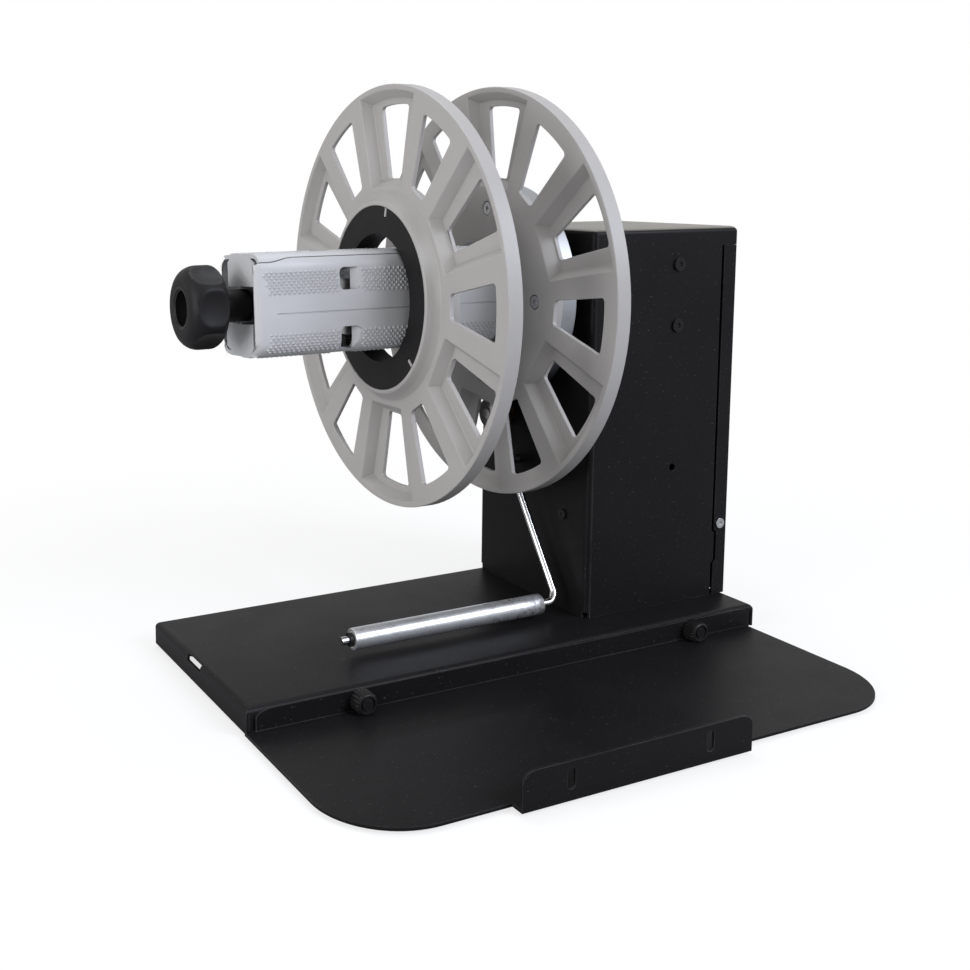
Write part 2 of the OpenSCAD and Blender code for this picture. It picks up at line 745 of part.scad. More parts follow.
module rear_cover() color([0.13, 0.13, 0.14]) on_floor() {
  left = tower_w - cover_flange;
  high = cover_top - tray_top - cover_joint / 2;
  low = tray_top + jog_up;
  difference() {
    union() {
      // Flat back, tucked under the top's fold
      translate([cover_x, tower_near, tray_top]) cube([sheet, tower_d, high]);
      // Side flanges, stepped beside the shell's narrow stretch
      for (y = [tower_near, tower_back - sheet]) translate([0, y + sheet, tray_top])
        rotate([90, 0, 0]) linear_extrude(sheet)
          polygon([[left, 0], [left, jog_up], [left + jog_in, jog_up + jog_in],
            [left + jog_in, jog_up + jog_h - jog_in], [left, jog_up + jog_h], [left, high],
            [tower_w, high], [tower_w, 0]]);
    }
    for (y = [tower_near - over, tower_back - sheet - over])
      translate([cover_screw_x(), y, tray_top + cover_screw_up]) rotate([-90, 0, 0])
        cylinder(r = m3_r + screw_gap, h = sheet + 2 * over);
    translate([cover_x - over, switch_y() - switch_w / 2, tray_top + switch_up - switch_h / 2])
      cube([sheet + 2 * over, switch_w, switch_h]);
    on_spindle(tower_w + over, inlet_y(), tray_top + switch_up)
      cylinder(r = inlet_r + inlet_wall + screw_gap, h = sheet + 2 * over);
    on_spindle(tower_w + over, tower_mid, tray_top + dial_up)
      cylinder(r = dial_stem_r + free, h = sheet + 2 * over);
  }
}

function cover_screw_x() = tower_w - cover_flange / 2 - sheet / 2;
function switch_y() = tower_near + switch_in;
function inlet_y() = tower_near + inlet_in;

module cover_screws() color([0.8, 0.8, 0.8]) on_floor() {
  translate([cover_screw_x(), tower_near, tray_top + cover_screw_up]) rotate([90, 0, 0])
    socket_screw(m3_r, m3_head_r, m3_head_h / 2, sheet * 3);
  translate([cover_screw_x(), tower_back, tray_top + cover_screw_up]) rotate([-90, 0, 0])
    socket_screw(m3_r, m3_head_r, m3_head_h / 2, sheet * 3);
}

module bracket_screws() color([0.06, 0.06, 0.06]) on_floor() {
  for (s = [-1, 1]) {
    translate([bracket_screw_in, tower_near, s * bracket_screw_off]) rotate([90, 0, 0])
      socket_screw(m4_r, m4_head_r, m4_head_h / 2, sheet * 4);
    translate([bracket_screw_in, tower_back, s * bracket_screw_off]) rotate([-90, 0, 0])
      socket_screw(m4_r, m4_head_r, m4_head_h / 2, sheet * 4);
  }
}

module board_screws() color([0.06, 0.06, 0.06]) on_floor() {
  for (y = board_screw_y()) on_spindle(0, y, tray_top + board_screw_up)
    socket_screw(m3_r, m3_head_r, m3_head_h / 2, board_in + sheet);
}

module foot_screws() color([0.7, 0.7, 0.7]) on_floor() {
  for (p = foot_screw_places()) translate([p[0], p[1], tray_top - sheet]) rotate([180, 0, 0])
    socket_screw(m3_r, m3_head_r, m3_head_h, 3.4 * sheet);
}

module housing_screws() color([0.3, 0.3, 0.3]) on_floor() {
  for (p = housing_screw_places()) on_spindle(0, p[0], p[1])
    socket_screw(m3_r, m3_head_r, m3_head_h, sheet + housing_flange_t);
}

// Flanged block inside the tower's left wall that holds both ball bearings
module bearing_housing() color([0.62, 0.63, 0.64]) on_floor() {
  flange_h = housing_flange_t;
  len = 2 * bearing_w + bearing_gap;
  on_spindle(sheet + len) difference() {
    union() {
      cylinder(r = bearing_r + housing_wall, h = len);
      translate([-housing_w / 2, -housing_w / 2, len - flange_h]) cube([housing_w, housing_w, flange_h]);
    }
    translate([0, 0, -over]) cylinder(r = bearing_r + fit, h = len + 2 * over);
    for (p = housing_screw_places()) translate([-p[0], p[1], len - flange_h - over])
      cylinder(r = m3_r + screw_gap, h = flange_h + 2 * over);
  }
}

// Outer races, held in the housing
module bearing_outer() color([0.75, 0.76, 0.77]) on_floor() {
  for (k = [0, 1]) on_spindle(bearing_x(k) + bearing_w) tube(bearing_r, bearing_r - race_t, bearing_w);
}

// Inner races with the ball cages, turning with the shaft
module bearing_inner() color([0.78, 0.79, 0.8]) on_floor() {
  for (k = [0, 1]) on_spindle(bearing_x(k) + bearing_w) difference() {
    cylinder(r = bearing_r - race_t - fit, h = bearing_w);
    translate([0, 0, -over]) cylinder(r = shaft_r + fit, h = bearing_w + 2 * over);
  }
}

function bearing_x(k) = sheet + k * (bearing_w + bearing_gap);

// Bracket between the tower's near and far walls, carrying the gearbox
module motor_bracket() color([0.7, 0.71, 0.72]) on_floor() {
  half_h = bracket_screw_off + bracket_lip;
  depth = tower_d - 2 * sheet;
  arm = bracket_screw_in + bracket_lip - bracket_in;
  difference() {
    translate([bracket_in, tower_near + sheet, -half_h]) difference() {
      cube([arm, depth, 2 * half_h]);
      translate([bracket_t, bracket_t, -over]) cube([arm, depth - 2 * bracket_t, 2 * half_h + 2 * over]);
    }
    on_spindle(bracket_in + bracket_t + over) cylinder(r = gearbox_nose_r + free, h = bracket_t + 2 * over);
    for (p = gearbox_screw_places()) on_spindle(bracket_in + bracket_t + over, p[0], p[1])
      cylinder(r = m3_r + screw_gap, h = bracket_t + 2 * over);
    for (s = [-1, 1]) translate([bracket_screw_in, tower_near - over, s * bracket_screw_off])
      rotate([-90, 0, 0]) cylinder(r = m4_r + fit, h = tower_d + 2 * over);
  }
}

function gearbox_screw_places() = [for (a = [30:60:330]) gearbox_r * 0.76 * [cos(a), sin(a)]];

module gearbox() color([0.66, 0.67, 0.68]) on_floor() {
  x = bracket_in + bracket_t;
  screw_in = gearbox_len * 0.3;
  difference() {
    union() {
      on_spindle(x + gearbox_len) cylinder(r = gearbox_r, h = gearbox_len);
      on_spindle(x + over) cylinder(r = gearbox_nose_r, h = over + bracket_t);
    }
    on_spindle(x + gearbox_len / 2) cylinder(r = shaft_tip_r + fit, h = gearbox_len);
    for (p = gearbox_screw_places()) on_spindle(x + screw_in, p[0], p[1])
      cylinder(r = m3_r + fit, h = screw_in + over);
  }
}

module motor_can() color([0.55, 0.56, 0.57]) on_floor() {
  x = bracket_in + bracket_t + gearbox_len;
  vent = motor_r / 9;
  difference() {
    union() {
      on_spindle(x + motor_len) cylinder(r = motor_r, h = motor_len);
      on_spindle(cover_x - motor_room) cylinder(r = motor_r * 0.4, h = vent + over);
    }
    // Vent slots in the can
    for (a = [0:60:300]) translate([x + motor_len * 0.7, 0, 0]) rotate([a, 0, 0])
      translate([0, -vent / 2, motor_r - vent / 2]) cube([motor_len * 0.15, vent, vent]);
  }
}

module gearbox_screws() color([0.3, 0.3, 0.3]) on_floor() {
  for (p = gearbox_screw_places()) on_spindle(bracket_in, p[0], p[1])
    socket_screw(m3_r, m3_head_r, m3_head_h, bracket_t + gearbox_len / 5);
}

// Board behind the left wall, standing on two spacers
module control_board() color([0.05, 0.28, 0.12]) on_floor() {
  w = board_screw_pitch + 2 * board_edge;
  h = board_h;
  top = board_screw_up + board_edge;
  difference() {
    translate([board_in, tower_near + board_mid - w / 2, tray_top + top - h]) cube([board_t, w, h]);
    for (y = board_screw_y()) on_spindle(board_in + board_t + over, y, tray_top + board_screw_up)
      cylinder(r = m3_r + screw_gap, h = board_t + 2 * over);
  }
  for (y = board_screw_y()) on_spindle(board_in, y, tray_top + board_screw_up)
    tube(2 * m3_r, m3_r + screw_gap, board_in - sheet);
}

module board_parts() color([0.12, 0.12, 0.14]) on_floor() {
  x = board_in + board_t;
  mid = tower_near + board_mid;
  z = tray_top + board_screw_up + board_edge - board_h * 0.58;
  translate([x, mid - board_h * 0.8, z - board_h * 0.22]) cube(board_h * [0.25, 0.55, 0.39]);
  translate([x, mid + board_h * 0.1, z - board_h * 0.17]) cube(board_h * [0.19, 0.44, 0.28]);
  on_spindle(x + board_h * 0.44, mid - board_h * 0.08, z) cylinder(r = board_h * 0.14, h = board_h * 0.44);
}

// Sensor that reads the arm's angle, fixed inside the tower's left wall
module arm_sensor() color([0.1, 0.1, 0.11]) on_floor() {
  w = sensor_w;
  len = sensor_len;
  difference() {
    translate([sheet, pivot_back - w / 2, -pivot_down - w / 2]) cube([len, w, w]);
    on_spindle(sheet + len * 0.57, pivot_back, -pivot_down) cylinder(r = bush_r + fit, h = len * 0.57 + over);
    on_spindle(sheet + len + over, pivot_back, -pivot_down) cylinder(r = arm_shaft_r + fit, h = len);
  }
}

// Flanged bush that carries the arm's shaft in the wall
module arm_bush() color([0.72, 0.55, 0.32]) on_floor() {
  flange_h = bush_flange_t;
  len = sensor_len * 0.43;
  difference() {
    union() {
      on_spindle(sheet + len, pivot_back, -pivot_down) cylinder(r = bush_r, h = sheet + len + flange_h);
      on_spindle(0, pivot_back, -pivot_down) cylinder(r = bush_r * 1.5, h = flange_h);
    }
    on_spindle(sheet + len + over, pivot_back, -pivot_down)
      cylinder(r = arm_shaft_r + fit, h = sheet + len + 3 * over + flange_h);
  }
}

// Stop pin that the arm's rod rests on
function stop_y() = pivot_back + stop_at * cos(arm_tilt) - (rod_r + stop_r + free) * sin(arm_tilt);
function stop_z() = -pivot_down + stop_at * sin(arm_tilt) + (rod_r + stop_r + free) * cos(arm_tilt);

module arm_stop() color([0.75, 0.75, 0.76]) on_floor() {
  head = stop_r * 1.2;
  on_spindle(sheet + head, stop_y(), stop_z()) cylinder(r = stop_r, h = sheet + head + rod_off + rod_r);
  on_spindle(sheet + head, stop_y(), stop_z()) cylinder(r = stop_r * 1.8, h = head);
}

// Housing of the three-way switch, with its bezel
module switch_body() color([0.07, 0.07, 0.07]) on_floor() {
  w = switch_w;
  h = switch_h;
  depth = rocker_h * 0.84;
  bezel = switch_bezel;
  bezel_w = w + 2 * bezel;
  bezel_h = h + 2 * bezel;
  well = rocker_h * 0.37;
  z = tray_top + switch_up;
  difference() {
    union() {
      translate([tower_w - depth, switch_y() - w / 2 + free, z - h / 2 + free])
        cube([depth, w - 2 * free, h - 2 * free]);
      translate([tower_w, switch_y() - bezel_w / 2, z - bezel_h / 2]) cube([bezel, bezel_w, bezel_h]);
    }
    translate([tower_w - well, switch_y() - rocker_w / 2 + free, z - rocker_h / 2 + free])
      cube([well + bezel + over, rocker_w - 2 * free, rocker_h - 2 * free]);
    // Pivot pin's seat
    translate([tower_w - bezel, switch_y() - rocker_pin_w / 2 - fit, z]) rotate([-90, 0, 0])
      cylinder(r = rocker_pin_r + fit, h = rocker_pin_w + 2 * fit);
  }
}

// Rocker with a shallow hollow face, on its own pivot stubs
module rocker() color([0.1, 0.1, 0.1]) on_floor() {
  z = tray_top + switch_up;
  w = rocker_w - 4 * free;
  h = rocker_h * 0.84;
  face_r = 2.5 * h;
  back = 2 * rocker_pin_r;
  translate([tower_w - switch_bezel, switch_y(), z]) {
    difference() {
      translate([-back, -w / 2, -h / 2]) cube([back + 2.6 * switch_bezel, w, h]);
      translate([1.9 * switch_bezel + face_r, -w, 0]) rotate([-90, 0, 0]) cylinder(r = face_r, h = 2 * w, $fn = 96);
    }
    translate([0, -rocker_pin_w / 2, 0]) rotate([-90, 0, 0]) cylinder(r = rocker_pin_r, h = rocker_pin_w);
  }
}

// Round power socket with its centre pin
module power_inlet() color([0.08, 0.08, 0.08]) on_floor() {
  z = tray_top + switch_up;
  rim_t = inlet_wall;
  depth = 7 * rim_t;
  on_spindle(tower_w + rim_t, inlet_y(), z) difference() {
    union() {
      cylinder(r = inlet_r + 2 * inlet_wall, h = rim_t);
      cylinder(r = inlet_r + inlet_wall, h = depth);
    }
    translate([0, 0, -over]) tube(inlet_r, inlet_r / 3, depth * 0.8 + over);
  }
}

module dial_sensor() color([0.2, 0.24, 0.3]) on_floor() {
  on_spindle(cover_x, tower_mid, tray_top + dial_up) tube(dial_r * 0.9, dial_stem_r + fit, dial_r);
}

// Tension dial with a pointer groove, on its stem
module tension_dial() color([0.07, 0.07, 0.07]) on_floor() {
  x = tower_w + dial_gap;
  stem = sheet + dial_gap + dial_r * 0.67;
  translate([x, tower_mid, tray_top + dial_up]) rotate([0, 90, 0]) {
    difference() {
      rotate_extrude() polygon([[0, 0], [dial_r, 0], [dial_r, dial_len * 0.2],
        [dial_r * 0.86, dial_len * 0.3], [dial_r * 0.8, dial_len * 0.92], [dial_r * 0.7, dial_len],
        [0, dial_len]]);
      translate([-dial_r - over, -dial_r * 0.06, dial_len * 0.93]) cube([dial_r + over, dial_r * 0.12, dial_len]);
      for (k = [0:11]) rotate([0, 0, 15 + k * 30]) translate([dial_r * 0.92, 0, dial_len * 0.3])
        cylinder(r = dial_r * 0.14, h = dial_len, $fn = 16);
    }
    translate([0, 0, -stem]) cylinder(r = dial_stem_r, h = stem + over);
  }
}

module spindle_shaft() color([0.7, 0.71, 0.72]) on_floor() {
  right = bearings_right_x + bearing_w;
  left = rear_flange_x - carrier_plate_t;
  on_spindle(right) cylinder(r = shaft_r, h = right - left);
  // Thin end that the gearbox turns
  tip = bracket_in + bracket_t + gearbox_len / 2 - free;
  on_spindle(tip) cylinder(r = shaft_tip_r, h = tip - right + over);
}

module shaft_coupler() color([0.6, 0.6, 0.62]) on_floor() {
  left = bearings_right_x + bearing_gap / 2;
  right = bracket_in - bracket_t - 2 * free;
  on_spindle(right) difference() {
    cylinder(r = shaft_r * 1.67, h = right - left);
    translate([0, 0, -over]) cylinder(r = shaft_r + fit, h = right - left + 2 * over);
    translate([0, 0, (right - left) / 2]) rotate([0, 90, 0]) cylinder(r = m3_r, h = 2 * shaft_r);
  }
}

// Light disc behind the rear flange, with the spigot that centres it
module hub_disc() color([0.74, 0.75, 0.78]) on_floor() {
  right = rear_flange_x + flange_t + hub_disc_t;
  on_spindle(right) difference() {
    union() {
      cylinder(r = hub_disc_r, h = hub_disc_t);
      cylinder(r = spigot_r, h = hub_disc_t + flange_t - free);
    }
    translate([0, 0, -over]) cylinder(r = shaft_r + fit, h = hub_disc_t + flange_t + 2 * over);
    // Hollow back
    translate([0, 0, -over]) tube(hub_disc_r - hub_disc_t / 2, spigot_r * 1.4, hub_disc_t / 2 + over);
    for (p = flange_screw_places()) translate([p[0], p[1], -over])
      cylinder(r = m4_r + fit, h = hub_disc_t + 2 * over);
    rotate([0, 0, holder_turn]) for (p = carrier_screw_places()) translate([p[0], p[1], -over])
      cylinder(r = m3_r + fit, h = hub_disc_t + 2 * over);
  }
}

function flange_screw_places() = [
  for (k = [0:3]) let (a = flange_screw_turn + k * 90) flange_screw_pcr * [cos(a), sin(a)]];

// Bar along a sector's edge, drawn as its section across the edge: u inwards, v up
module edge_bar(a, side, section) {
  rotate([0, 0, a + side * 90 / sector_pairs]) rotate([90, 0, 90]) linear_extrude(flange_r)
    polygon([for (p = section) [-side * p[0], p[1]]]);
}

// Hollow above a sunken sector's floor, its walls sloping in towards the floor
module front_pocket(a) {
  slope = spoke_draft / (flange_t - skin);
  top = flange_t + over;
  top_u = -over * slope;
  side_section = [[top_u, top], [flange_r, top], [flange_r, skin], [spoke_draft, skin]];
  intersection() {
    edge_bar(a, 1, side_section);
    edge_bar(a, -1, side_section);
    rotate([0, 0, a]) translate([0, flange_r, 0]) rotate([90, 0, 0]) linear_extrude(2 * flange_r)
      polygon([[hub_r + top_u, top], [flange_r, top], [flange_r, skin], [hub_r + spoke_draft, skin]]);
    translate([0, 0, skin]) cylinder(r1 = flange_r - rim_wall - spoke_draft,
      r2 = flange_r - rim_wall - top_u, h = top - skin, $fn = 120);
  }
}

// Hollow behind a raised sector, its walls parallel to the sunken sectors' walls
module back_pocket(a) {
  slope = spoke_draft / (flange_t - skin);
  wall_u = spoke_wall * sqrt(1 + slope * slope);
  side_section = [for (z = [-over, flange_t - skin]) [wall_u - (flange_t - z) * slope, z]];
  section = concat(side_section, [[flange_r, flange_t - skin], [flange_r, -over]]);
  intersection() {
    edge_bar(a, 1, section);
    edge_bar(a, -1, section);
    translate([0, 0, -over]) tube(flange_r - rim_wall, hub_r + spoke_wall, flange_t - skin + over, $fn = 120);
  }
}

// Corner of a window: short runs round the point, between two directions
function corner_arc(c, r, from, to) = [
  for (k = [0:4]) let (a = from + (to - from) * k / 4) c + r * [cos(a), sin(a)]];

// Window outline: tapered sides, rounded corners and a curved outer edge
function window_points() = let (
    lean = atan2((window_out_w - window_in_w) / 2, window_out_r - window_in),
    r = window_corner_r,
    in_x = window_in + r,
    in_y = window_in_w / 2 - r * tan(45 - lean / 2),
    out_a = asin((window_out_w / 2 - r) / (window_out_r - r)),
    out_c = (window_out_r - r) * [cos(out_a), sin(out_a)])
  concat(
    corner_arc([in_x, -in_y], r, 180, 270 + lean),
    corner_arc([out_c[0], -out_c[1]], r, 270 + lean, 360 - out_a),
    [for (k = [-2:2]) window_out_r * [cos(k * out_a / 3), sin(k * out_a / 3)]],
    corner_arc(out_c, r, out_a, 90 - lean),
    corner_arc([in_x, in_y], r, 90 - lean, 180));

// Spoked disc: raised sectors are hollow behind, sunken ones are hollow in front
module spoked_disc(turn) {
  step = 360 / sector_pairs;
  difference() {
    cylinder(r = flange_r, h = flange_t, $fn = 180);
    for (k = [0:sector_pairs - 1]) {
      back_pocket(turn + k * step);
      front_pocket(turn + (k + 0.5) * step);
      for (m = [0, 0.5]) translate([0, 0, -over]) linear_extrude(flange_t + 2 * over)
        rotate(turn + (k + m) * step) polygon(window_points());
    }
  }
}

module rear_flange() color([0.66, 0.65, 0.63]) on_floor() {
  on_spindle(rear_flange_x + flange_t) difference() {
    spoked_disc(rear_turn);
    translate([0, 0, -over]) cylinder(r = spigot_r + fit, h = flange_t + 2 * over);
    for (p = flange_screw_places()) translate([p[0], p[1], -over]) {
      cylinder(r = m4_r + screw_gap, h = flange_t + 2 * over);
      translate([0, 0, over + flange_t - screw_sunk]) cylinder(r = m4_head_r + free, h = flange_t);
    }
    rotate([0, 0, holder_turn]) for (p = carrier_screw_places()) translate([p[0], p[1], -over])
      cylinder(r = m3_r + screw_gap, h = flange_t + 2 * over);
  }
}

module flange_screws() color([0.72, 0.73, 0.74]) on_floor() {
  on_spindle(rear_flange_x + screw_sunk)
    for (p = flange_screw_places()) translate([p[0], p[1], 0])
      socket_screw(m4_r, m4_head_r, m4_head_h, flange_t + hub_disc_t / 2 - m4_head_h);
}

function carrier_screw_places() = [for (a = [45:90:315]) carrier_plate_r * 0.79 * [cos(a), sin(a)]];

// Square tube that the jaws stand on, with the plate that ties it to the rear flange
module jaw_carrier() color([0.6, 0.61, 0.63]) on_floor() {
  right = rear_flange_x;
  len = right - carrier_left_x;
  on_holder(right) difference() {
    union() {
      translate([-carrier_half, -carrier_half, 0]) cube([2 * carrier_half, 2 * carrier_half, len]);
      cylinder(r = carrier_plate_r, h = carrier_plate_t);
    }
    translate([0, 0, carrier_plate_t]) cylinder(r = carrier_bore_r, h = len);
    translate([0, 0, -over]) cylinder(r = shaft_r + fit, h = carrier_plate_t + 2 * over);
    for (p = carrier_screw_places()) translate([p[0], p[1], -over])
      cylinder(r = m3_r + screw_gap, h = carrier_plate_t + 2 * over);
    // Bores for the jaws' guide posts
    for (x = [post_front_x, post_rear_x], a = [0, 90]) translate([0, 0, right - x]) rotate([0, 0, a])
      rotate([0, 90, 0]) translate([0, 0, -2 * carrier_half])
        cylinder(r = post_r + fit, h = 4 * carrier_half);
    // Slots for the wedges' draw pins
    for (x = [wedge_front_x, wedge_rear_x])
      translate([-2 * carrier_half, -draw_pin_r - free, right - x - wedge_len / 2 - draw_pin_r - free])
        cube([4 * carrier_half, 2 * (draw_pin_r + free), wedge_travel + 2 * (draw_pin_r + free)]);
  }
}

module carrier_screws() color([0.3, 0.3, 0.3]) on_floor() {
  on_holder(rear_flange_x - carrier_plate_t)
    for (p = carrier_screw_places()) translate([p[0], p[1], 0])
      socket_screw(m3_r, m3_head_r, m3_head_h, carrier_plate_t + flange_t + hub_disc_t / 4);
}

// Bronze bushes that carry the lead screw in the carrier
module lead_bushes() color([0.72, 0.55, 0.32]) on_floor() {
  for (x = [carrier_left_x + lead_bush_len, wedge_rear_x + wedge_len + lead_bush_len])
    on_spindle(x) tube(carrier_bore_r - fit, lead_r + fit, lead_bush_len);
}

// Outline of the closed holder: each face runs from a sharp corner to a falling shoulder
function holder_outline() = [for (k = [0:3], p = [[corner_half, -corner_half],
    [jaw_half, band_low], [jaw_half, band_high],
    [jaw_half - jaw_fall, band_high + knurl_seam_w], [jaw_half - seam_fall, seam_at - seam_swing]])
  turned(p, k * 90)];

function turned(p, a) = [p[0] * cos(a) - p[1] * sin(a), p[0] * sin(a) + p[1] * cos(a)];

// Everything below the seam at a jaw's upper corner. The seam swings down at the left
// end, and inside the wall it turns along the diagonal
module below_seam(gap) {
  swing_from = jaw_len * 0.8;
  swing_len = jaw_len * 0.13;
  curve = [for (k = [0:8]) [swing_from + k * swing_len / 8,
    seam_at + gap - seam_swing * (1 - cos(k * 22.5)) / 2]];
  intersection() {
    rotate([0, -90, 0]) translate([0, 0, -2 * jaw_half]) linear_extrude(4 * jaw_half)
      polygon(concat([[-over, -3 * jaw_half], [-over, seam_at + gap]], curve,
        [[jaw_len + over, curve[8][1]], [jaw_len + over, -3 * jaw_half]]));
    translate([0, 0, -over]) linear_extrude(jaw_len + 2 * over)
      polygon([[gap * sqrt(2) - 3 * jaw_half, -3 * jaw_half], [gap * sqrt(2) - 3 * jaw_half, -3 * jaw_half + over],
        [3 * jaw_half, 3 * jaw_half + gap * sqrt(2)], [3 * jaw_half, -3 * jaw_half]]);
  }
}

// Window with rounded corners and a ramp towards the flanges, cut through a jaw's wall
module jaw_window(y, z) {
  r = jaw_window_w / 6;
  depth = jaw_wall + jaw_fall + over;
  hole = jaw_window_w * 0.62;
  low = jaw_half - jaw_wall - over;
  intersection() {
    translate([low, y, z]) rotate([90, 0, 90]) linear_extrude(depth + over)
      rounded_rect(jaw_window_h, jaw_window_w, r);
    translate([0, y + jaw_window_h, 0]) rotate([90, 0, 0]) linear_extrude(2 * jaw_window_h)
      polygon([[low, z + jaw_window_w / 2 - hole], [low, z + jaw_window_w],
        [jaw_half + over, z + jaw_window_w], [jaw_half + over, z - jaw_window_w / 2],
        [jaw_half - jaw_fall * 0.6, z - jaw_window_w / 2],
        [jaw_half - jaw_wall * 0.7, z + jaw_window_w / 2 - hole]]);
  }
}

// Rectangle with rounded corners, centred
module rounded_rect(w, h, r) {
  square([w - 2 * r, h], center = true);
  square([w, h - 2 * r], center = true);
  for (x = [-1, 1], y = [-1, 1]) translate([x * (w / 2 - r), y * (h / 2 - r)]) circle(r = r, $fn = 24);
}

// End plate: flat wall with cut corners and a nib, clear of the knob's neck
module jaw_end_2d() {
  low = neck_r + jaw_end_gap;
  high = jaw_half + jaw_fall;
  nib = jaw_half / 24;
  polygon(concat([[low, nib], [low, jaw_half * 0.57], [jaw_half * 0.84, jaw_half * 0.57],
    [jaw_half * 0.89, jaw_half * 0.49], [high, jaw_half * 0.35], [high, jaw_half * 0.04],
    [jaw_half * 0.94, -jaw_half * 0.44], [jaw_half * 0.82, -jaw_half * 0.74], [low, -jaw_half * 0.74]],
    [[low, -nib], [low - jaw_end_gap / 2, -nib], [low - jaw_end_gap / 2, nib]]));
}

// One jaw, facing the operator. Local Z runs to the left from the jaw's right end
module jaw(end_plate) {
  win_z = jaw_len - jaw_window_in;
  inner = jaw_half - jaw_wall;
  pad_z = [for (x = [wedge_front_x, wedge_rear_x]) jaw_right_x - x - wedge_len];
  pad_in = wedge_len / 8;
  line_w = jaw_wall / 5;
  intersection() {
    union() {
      difference() {
        linear_extrude(jaw_len) difference() {
          polygon(holder_outline());
          square(2 * inner, center = true);
        }
        jaw_window(window_seam_off, win_z);
        jaw_window(-window_corner_off, win_z);
        // Fine line along the middle of the plain band
        translate([jaw_half - line_w / 2, -jaw_band_off - line_w / 2, -over]) cube([over, line_w, jaw_len * 0.88]);
      }
      // Guide posts
      for (x = [post_front_x, post_rear_x]) translate([carrier_bore_r * 1.11, 0, jaw_right_x - x])
        rotate([0, 90, 0]) cylinder(r = post_r, h = inner + over / 2 - carrier_bore_r * 1.11);
      // Pads that ride on the wedges
      for (z = pad_z) translate([0, pad_half, z]) rotate([90, 0, 0]) linear_extrude(2 * pad_half)
        polygon([[wedge_half(pad_in) + free, pad_in], [inner + over / 2, pad_in],
          [inner + over / 2, wedge_len - pad_in], [wedge_half(wedge_len - pad_in) + free, wedge_len - pad_in]]);
    }
    difference() {
      below_seam(-jaw_seam / 2);
      rotate([0, 0, -90]) below_seam(jaw_seam / 2);
    }
    // Rounded left edge of the face
    translate([0, 2 * jaw_half, 0]) rotate([90, 0, 0]) linear_extrude(4 * jaw_half) {
      translate([0, -over]) square([jaw_half + over, jaw_len + over - jaw_nose_r]);
      translate([0, -over]) square([jaw_half - jaw_nose_r, jaw_len + over]);
      translate([jaw_half - jaw_nose_r, jaw_len - jaw_nose_r]) circle(r = jaw_nose_r);
    }
  }
  if (end_plate) translate([0, 0, jaw_len - jaw_end_in - jaw_end_t]) linear_extrude(jaw_end_t) jaw_end_2d();
}

// Half width of a wedge sleeve at a distance from its right, thick end
function wedge_half(z) = wedge_thin_half + (wedge_len - z) * wedge_slope;

module jaw_near() color([0.72, 0.74, 0.78]) on_floor() on_holder(jaw_right_x) jaw(false);

module jaw_top() color([0.74, 0.76, 0.8]) on_floor() on_holder(jaw_right_x)
  rotate([0, 0, 90]) jaw(true);

module jaw_far() color([0.72, 0.74, 0.78]) on_floor() on_holder(jaw_right_x)
  rotate([0, 0, 180]) jaw(false);

module jaw_bottom() color([0.7, 0.72, 0.76]) on_floor() on_holder(jaw_right_x)
  rotate([0, 0, 270]) jaw(true);

// Two square sleeves with sloping sides that push the jaws open
module wedge_sleeves() color([0.7, 0.71, 0.72]) on_floor() {
  hole = carrier_half + free;
  for (x = [wedge_front_x, wedge_rear_x]) on_holder(x + wedge_len) difference() {
    intersection() {
      wedge_bar();
      rotate([0, 0, 90]) wedge_bar();
    }
    translate([-hole, -hole, -over]) cube([2 * hole, 2 * hole, wedge_len + 2 * over]);
    translate([-2 * hole, 0, wedge_len / 2]) rotate([0, 90, 0])
      cylinder(r = draw_pin_r + fit, h = 4 * hole);
  }
}

// Bar whose two local X faces slope together
module wedge_bar() {
  a = wedge_half(0);
  b = wedge_half(wedge_len);
  translate([0, a, 0]) rotate([90, 0, 0]) linear_extrude(2 * a)
    polygon([[-a, 0], [a, 0], [b, wedge_len], [-b, wedge_len]]);
}

module draw_nuts() color([0.76, 0.6, 0.3]) on_floor() {
  for (x = [wedge_front_x, wedge_rear_x]) on_holder(x + (wedge_len + draw_nut_len) / 2) difference() {
    tube(carrier_bore_r - fit, lead_r + fit, draw_nut_len);
    translate([-2 * carrier_bore_r, 0, draw_nut_len / 2]) rotate([0, 90, 0])
      cylinder(r = draw_pin_r + fit, h = 4 * carrier_bore_r);
  }
}

// Stub pins from each nut through the carrier's slots to its sleeve
module draw_pins() color([0.8, 0.8, 0.8]) on_floor() {
  start = lead_r * 1.25;
  for (x = [wedge_front_x, wedge_rear_x], side = [0, 180]) on_holder(x + wedge_len)
    translate([0, 0, wedge_len / 2]) rotate([0, 0, side]) rotate([0, 90, 0])
      translate([0, 0, start]) cylinder(r = draw_pin_r, h = wedge_thin_half - start);
}

module lead_screw() color([0.75, 0.75, 0.76]) on_floor() {
  right = wedge_rear_x + wedge_len + lead_bush_len + over;
  on_spindle(right) cylinder(r = lead_r, h = right - knob_right_x);
}

